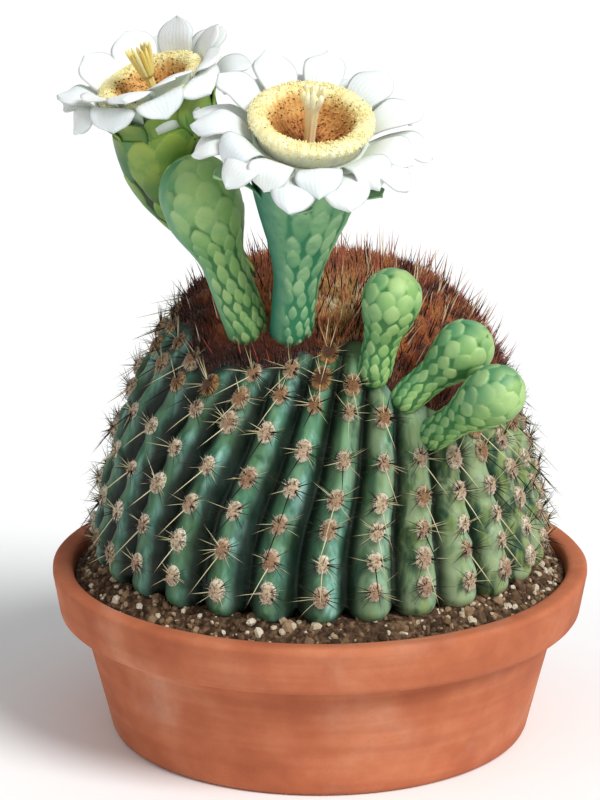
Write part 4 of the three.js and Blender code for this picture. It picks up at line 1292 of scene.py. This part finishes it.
def make_petals(name, flower, seed):
    random = np.random.default_rng(seed)
    size, count = flower["size"], flower["petals"]
    base = rim_height(flower) + GAP
    top = flower["length"] - PETAL_RING_DROP * size
    radius = PETAL_RING_RADIUS * size
    middle = mix(base, top, 0.5)
    shape = Shape()
    ring = revolved([(radius, base), (radius + 2.6 * size, base), (radius + 3 * size, middle),
                     (radius + 2 * size, top), (radius, top), (radius, middle)], 72)
    open_ring(shape, flower, ring, (0.5, 0.1, 0, 0))
    width = PETAL_WIDTH * size * 11 / count
    for row, (layer, height) in enumerate(zip(flower["layers"], (base + 3, top - 1))):
        for place in range(count):
            bearing = (place + 0.5 * row + random.normal(0, 0.07)) / count * TURN
            front = front_share(bearing)
            back = front_share(bearing + math.pi)
            slopes = []
            for side, ahead, behind in zip(layer["side"], layer["front"], layer["back"]):
                slope = mix(mix(side, ahead, front), behind, back)
                slopes.append((slope + random.normal(0, 4)) * DEGREE)
            add_petal(
                shape, flower, random.random(), PETAL_THICKNESS,
                bearing=bearing,
                radius=radius + 0.8,
                height=height,
                length=layer["length"] * size * random.uniform(0.94, 1.04),
                width=width * layer["width"] * random.uniform(0.92, 1.06),
                slopes=slopes,
                roll=layer["roll"] * size * random.uniform(0.5, 1.2),
                ruffle=0.8 * size,
                twist=random.normal(0, 0.1),
                tip=mix(0.04, 0.2, front),
                narrow=0.55,
                seed=seed * 100 + 20 * row + place,
            )
    shape.piece(f"{name}_petals_white", petal_paint, "petal_white", f"{name}_petals")


def make_stamens(name, flower, seed):
    random = np.random.default_rng(seed)
    size, length = flower["size"], flower["length"]
    # Radius, height, tone and greyness round the section of the bowl, from its foot outwards; the tone
    # darkens into the bowl and the greyness lies under the ring, both as painted shade.
    section = np.array([
        (3.4, -24.6, 0.2, 0), (19, -24.6, 0.6, 0.6), (23.4, -20, 0.9, 0.7), (23.6, -11, 0.95, 0.5),
        (26.2, -5, 0.92, 0.3), (28.2, -2.2, 0.84, 0.1), (28.2, -0.2, 0.78, 0), (26.4, 1.3, 0.74, 0),
        (23.6, 1.7, 0.72, 0), (21, 0.8, 0.68, 0), (19.4, -1, 0.56, 0), (17.8, -4, 0.44, 0),
        (15.8, -8, 0.38, 0), (12.6, -12, 0.32, 0), (8, -14.6, 0.25, 0), (3.4, -15.6, 0.12, 0),
    ])
    fine = refined(section, 1.2)
    grid = revolved(fine[:, :2] * size + (0, length), BOWL_SIDES)
    pleats = np.sin(40 * bearings(BOWL_SIDES))
    grid[..., 2] += (0.7 * (waves(grid, 12, seed) - 0.5) + 0.5 * (waves(grid, 3, 5) - 0.5)) * size
    grid[..., :2] *= (1 + 0.012 * pleats * smoothstep(fine[:, :1], 20, 24))[..., None]
    tone = fine[:, 2:3] + 0.06 * pleats + 0.16 * (waves(grid, 4, 9) - 0.5)
    # Painted shade: grey-green on the outer wall under the ring, varied by the pleats.
    grey = fine[:, 3:4] * (0.7 + 0.3 * pleats)
    shape = Shape()
    open_ring(shape, flower, grid, (tone, 0.5, grey, 0))

    run = np.concatenate([[0], np.cumsum(np.hypot(*np.diff(fine[:, :2], axis=0).T))])
    first = run[np.argmax(fine[:, 0] > 26.1)]
    share = random.uniform(0, 1, ANTHERS)
    on = mix(first, run[-1], share)
    radius, height = np.interp(on, run, fine[:, 0]), np.interp(on, run, fine[:, 1])
    keep = random.random(ANTHERS) < radius / 28
    radius, height, share = radius[keep], height[keep], share[keep]
    count = len(radius)
    bearing = random.uniform(0, TURN, count)
    places = polar(radius, bearing, height) * size
    places += np.array([0, 0, length + 0.1]) + random.normal(0, 0.16, places.shape)
    turns = np.linalg.qr(random.normal(size=(count, 3, 3)))[0]
    axes = turns * (np.array([0.3, 0.3, 0.55]) * random.uniform(0.8, 1.25, (count, 1)))[..., None]
    # Painted shade: anthers darker further into the bowl, with dark specks among them there.
    local = np.interp(radius, [4, 12, 18, 20, 28], [0.2, 0.32, 0.45, 0.66, 0.78])
    tones = local + random.normal(0, 0.05, count)
    speck = random.random(count) < np.where(radius < 20.5, 0.2, 0.006)
    tones = np.clip(np.where(speck, 0.05, tones), 0, 1)
    unit_points, unit_faces = ball(2, 5)
    points, faces = copies(unit_points, unit_faces, axes, places)
    shape.add(corolla(points, flower), faces, (np.repeat(tones, len(unit_points)), 0.5, 0, 0))
    shape.piece(f"{name}_stamens_massed", pollen, "stamen_yellow", f"{name}_stamens")


def make_style(name, flower, seed):
    random = np.random.default_rng(seed)
    size, length = flower["size"], flower["length"]
    foot = cup_height(flower) + GAP
    lobes = flower["lobes"]
    knuckle = length + (11 - lobes["sunk"]) * size
    shape = Shape()
    outline = [(2, foot), (2, mix(foot, length, 0.5)), (2.1, length - 3), (2.5, mix(length, knuckle, 0.4)),
               (3.5, knuckle - 2), (3.7, knuckle), (2.2, knuckle + 1)]
    outline = [(radius * size * lobes["stout"], height) for radius, height in outline]
    grid = revolved(round_corners(outline, 3), STYLE_SIDES)
    grid[..., :2] *= (1 + 0.08 * np.cos(8 * bearings(STYLE_SIDES)))[None, :, None]
    points, faces = closed_grid(grid, (0, 0, foot), (0, 0, knuckle + 1.2))
    shape.add(corolla(points, flower), faces, (lobes["tone"], 0.5, 0, 0))
    for lobe in range(lobes["count"]):
        bearing = (lobe + random.normal(0, 0.12)) / lobes["count"] * TURN
        share = np.linspace(0, 1, 12)
        reach = lobes["length"] * size * random.uniform(0.8, 1)
        spread = lobes["spread"] * DEGREE * random.uniform(0.6, 1.15)
        out = 2.4 * size + reach * share * math.sin(spread) - lobes["curl"] * size * share**3
        path = polar(out, bearing, knuckle - 2.4 + reach * share * math.cos(spread))
        radii = lobes["radius"] * size * np.sqrt(np.clip(1.02 - share**6, 0.05, 1))
        points, faces = rod(path, radii)
        tone = np.clip(lobes["tone"] + random.uniform(-0.2, 0.3), 0, 1)
        shape.add(corolla(points, flower), faces, (tone, 0.5, 0, 0))
    shape.piece(f"{name}_style_lobed", style_paint, "style_cream", f"{name}_style")


make_pot()
make_soil()
make_skin()
make_areoles()
make_crown()
for number, (bud_name, bud_form) in enumerate(BUDS.items()):
    make_bud(bud_name, bud_form, 40 + number)
for number, (flower_name, flower_form) in enumerate(FLOWERS.items()):
    make_tube(flower_name, flower_form, 60 + number)
    make_petals(flower_name, flower_form, 70 + number)
    make_stamens(flower_name, flower_form, 80 + number)
    make_style(flower_name, flower_form, 90 + number)


# Floor, light and camera.

VIEW_ELEVATION = 14 * DEGREE  # of the photograph
VIEW_TARGET = (-9.2, 0, 206.7)
VIEW_DISTANCE = 1500
VIEW_SCALE = 0.87 * 2.5  # pixels for each millimetre at the target
FRAME_HEIGHT = 800
SENSOR_HEIGHT = 36
TILT_TO_POT = 1.83 * DEGREE  # further down than the photograph, to take in the pot


def make_floor():
    mesh = bpy.data.meshes.new("floor")
    mesh.from_pydata([(-8, -8, 0), (8, -8, 0), (8, 12, 0), (-8, 12, 0)], [], [(0, 1, 2, 3)])
    mesh.materials.append(floor_material())
    floor = placed("floor", mesh)
    floor.location.z = -0.2 * MM


def add_sun(name, direction, strength, spread):
    """Even light that comes from a direction."""
    light = bpy.data.lights.new(name, "SUN")
    light.energy = strength
    light.angle = spread
    placed(name, light).rotation_euler = (-Vector(direction)).to_track_quat("-Z", "Y").to_euler()


def make_camera():
    camera = placed("camera", bpy.data.cameras.new("camera"))
    away = Vector((0, math.cos(VIEW_ELEVATION), -math.sin(VIEW_ELEVATION)))
    camera.location = (Vector(VIEW_TARGET) - away * VIEW_DISTANCE) * MM
    camera.rotation_euler = (math.pi / 2 - VIEW_ELEVATION - TILT_TO_POT, 0, 0)
    camera.data.sensor_fit = "VERTICAL"
    camera.data.sensor_height = SENSOR_HEIGHT
    camera.data.lens = VIEW_SCALE * VIEW_DISTANCE * SENSOR_HEIGHT / FRAME_HEIGHT
    camera.data.clip_start = 0.05
    bpy.context.scene.camera = camera


make_floor()
add_sun("key", (0.72, -0.72, 0.95), 2.9, 26 * DEGREE)
add_sun("fill", (-0.8, -0.6, 0.5), 0.3, 60 * DEGREE)
world = bpy.data.worlds.new("studio")
bpy.context.scene.world = world
world.use_nodes = True
sky = world.node_tree.nodes["Background"].inputs
sky["Color"].default_value = (0.94, 0.97, 1, 1)
sky["Strength"].default_value = 0.45
bpy.context.scene.view_settings.view_transform = "Standard"
make_camera()
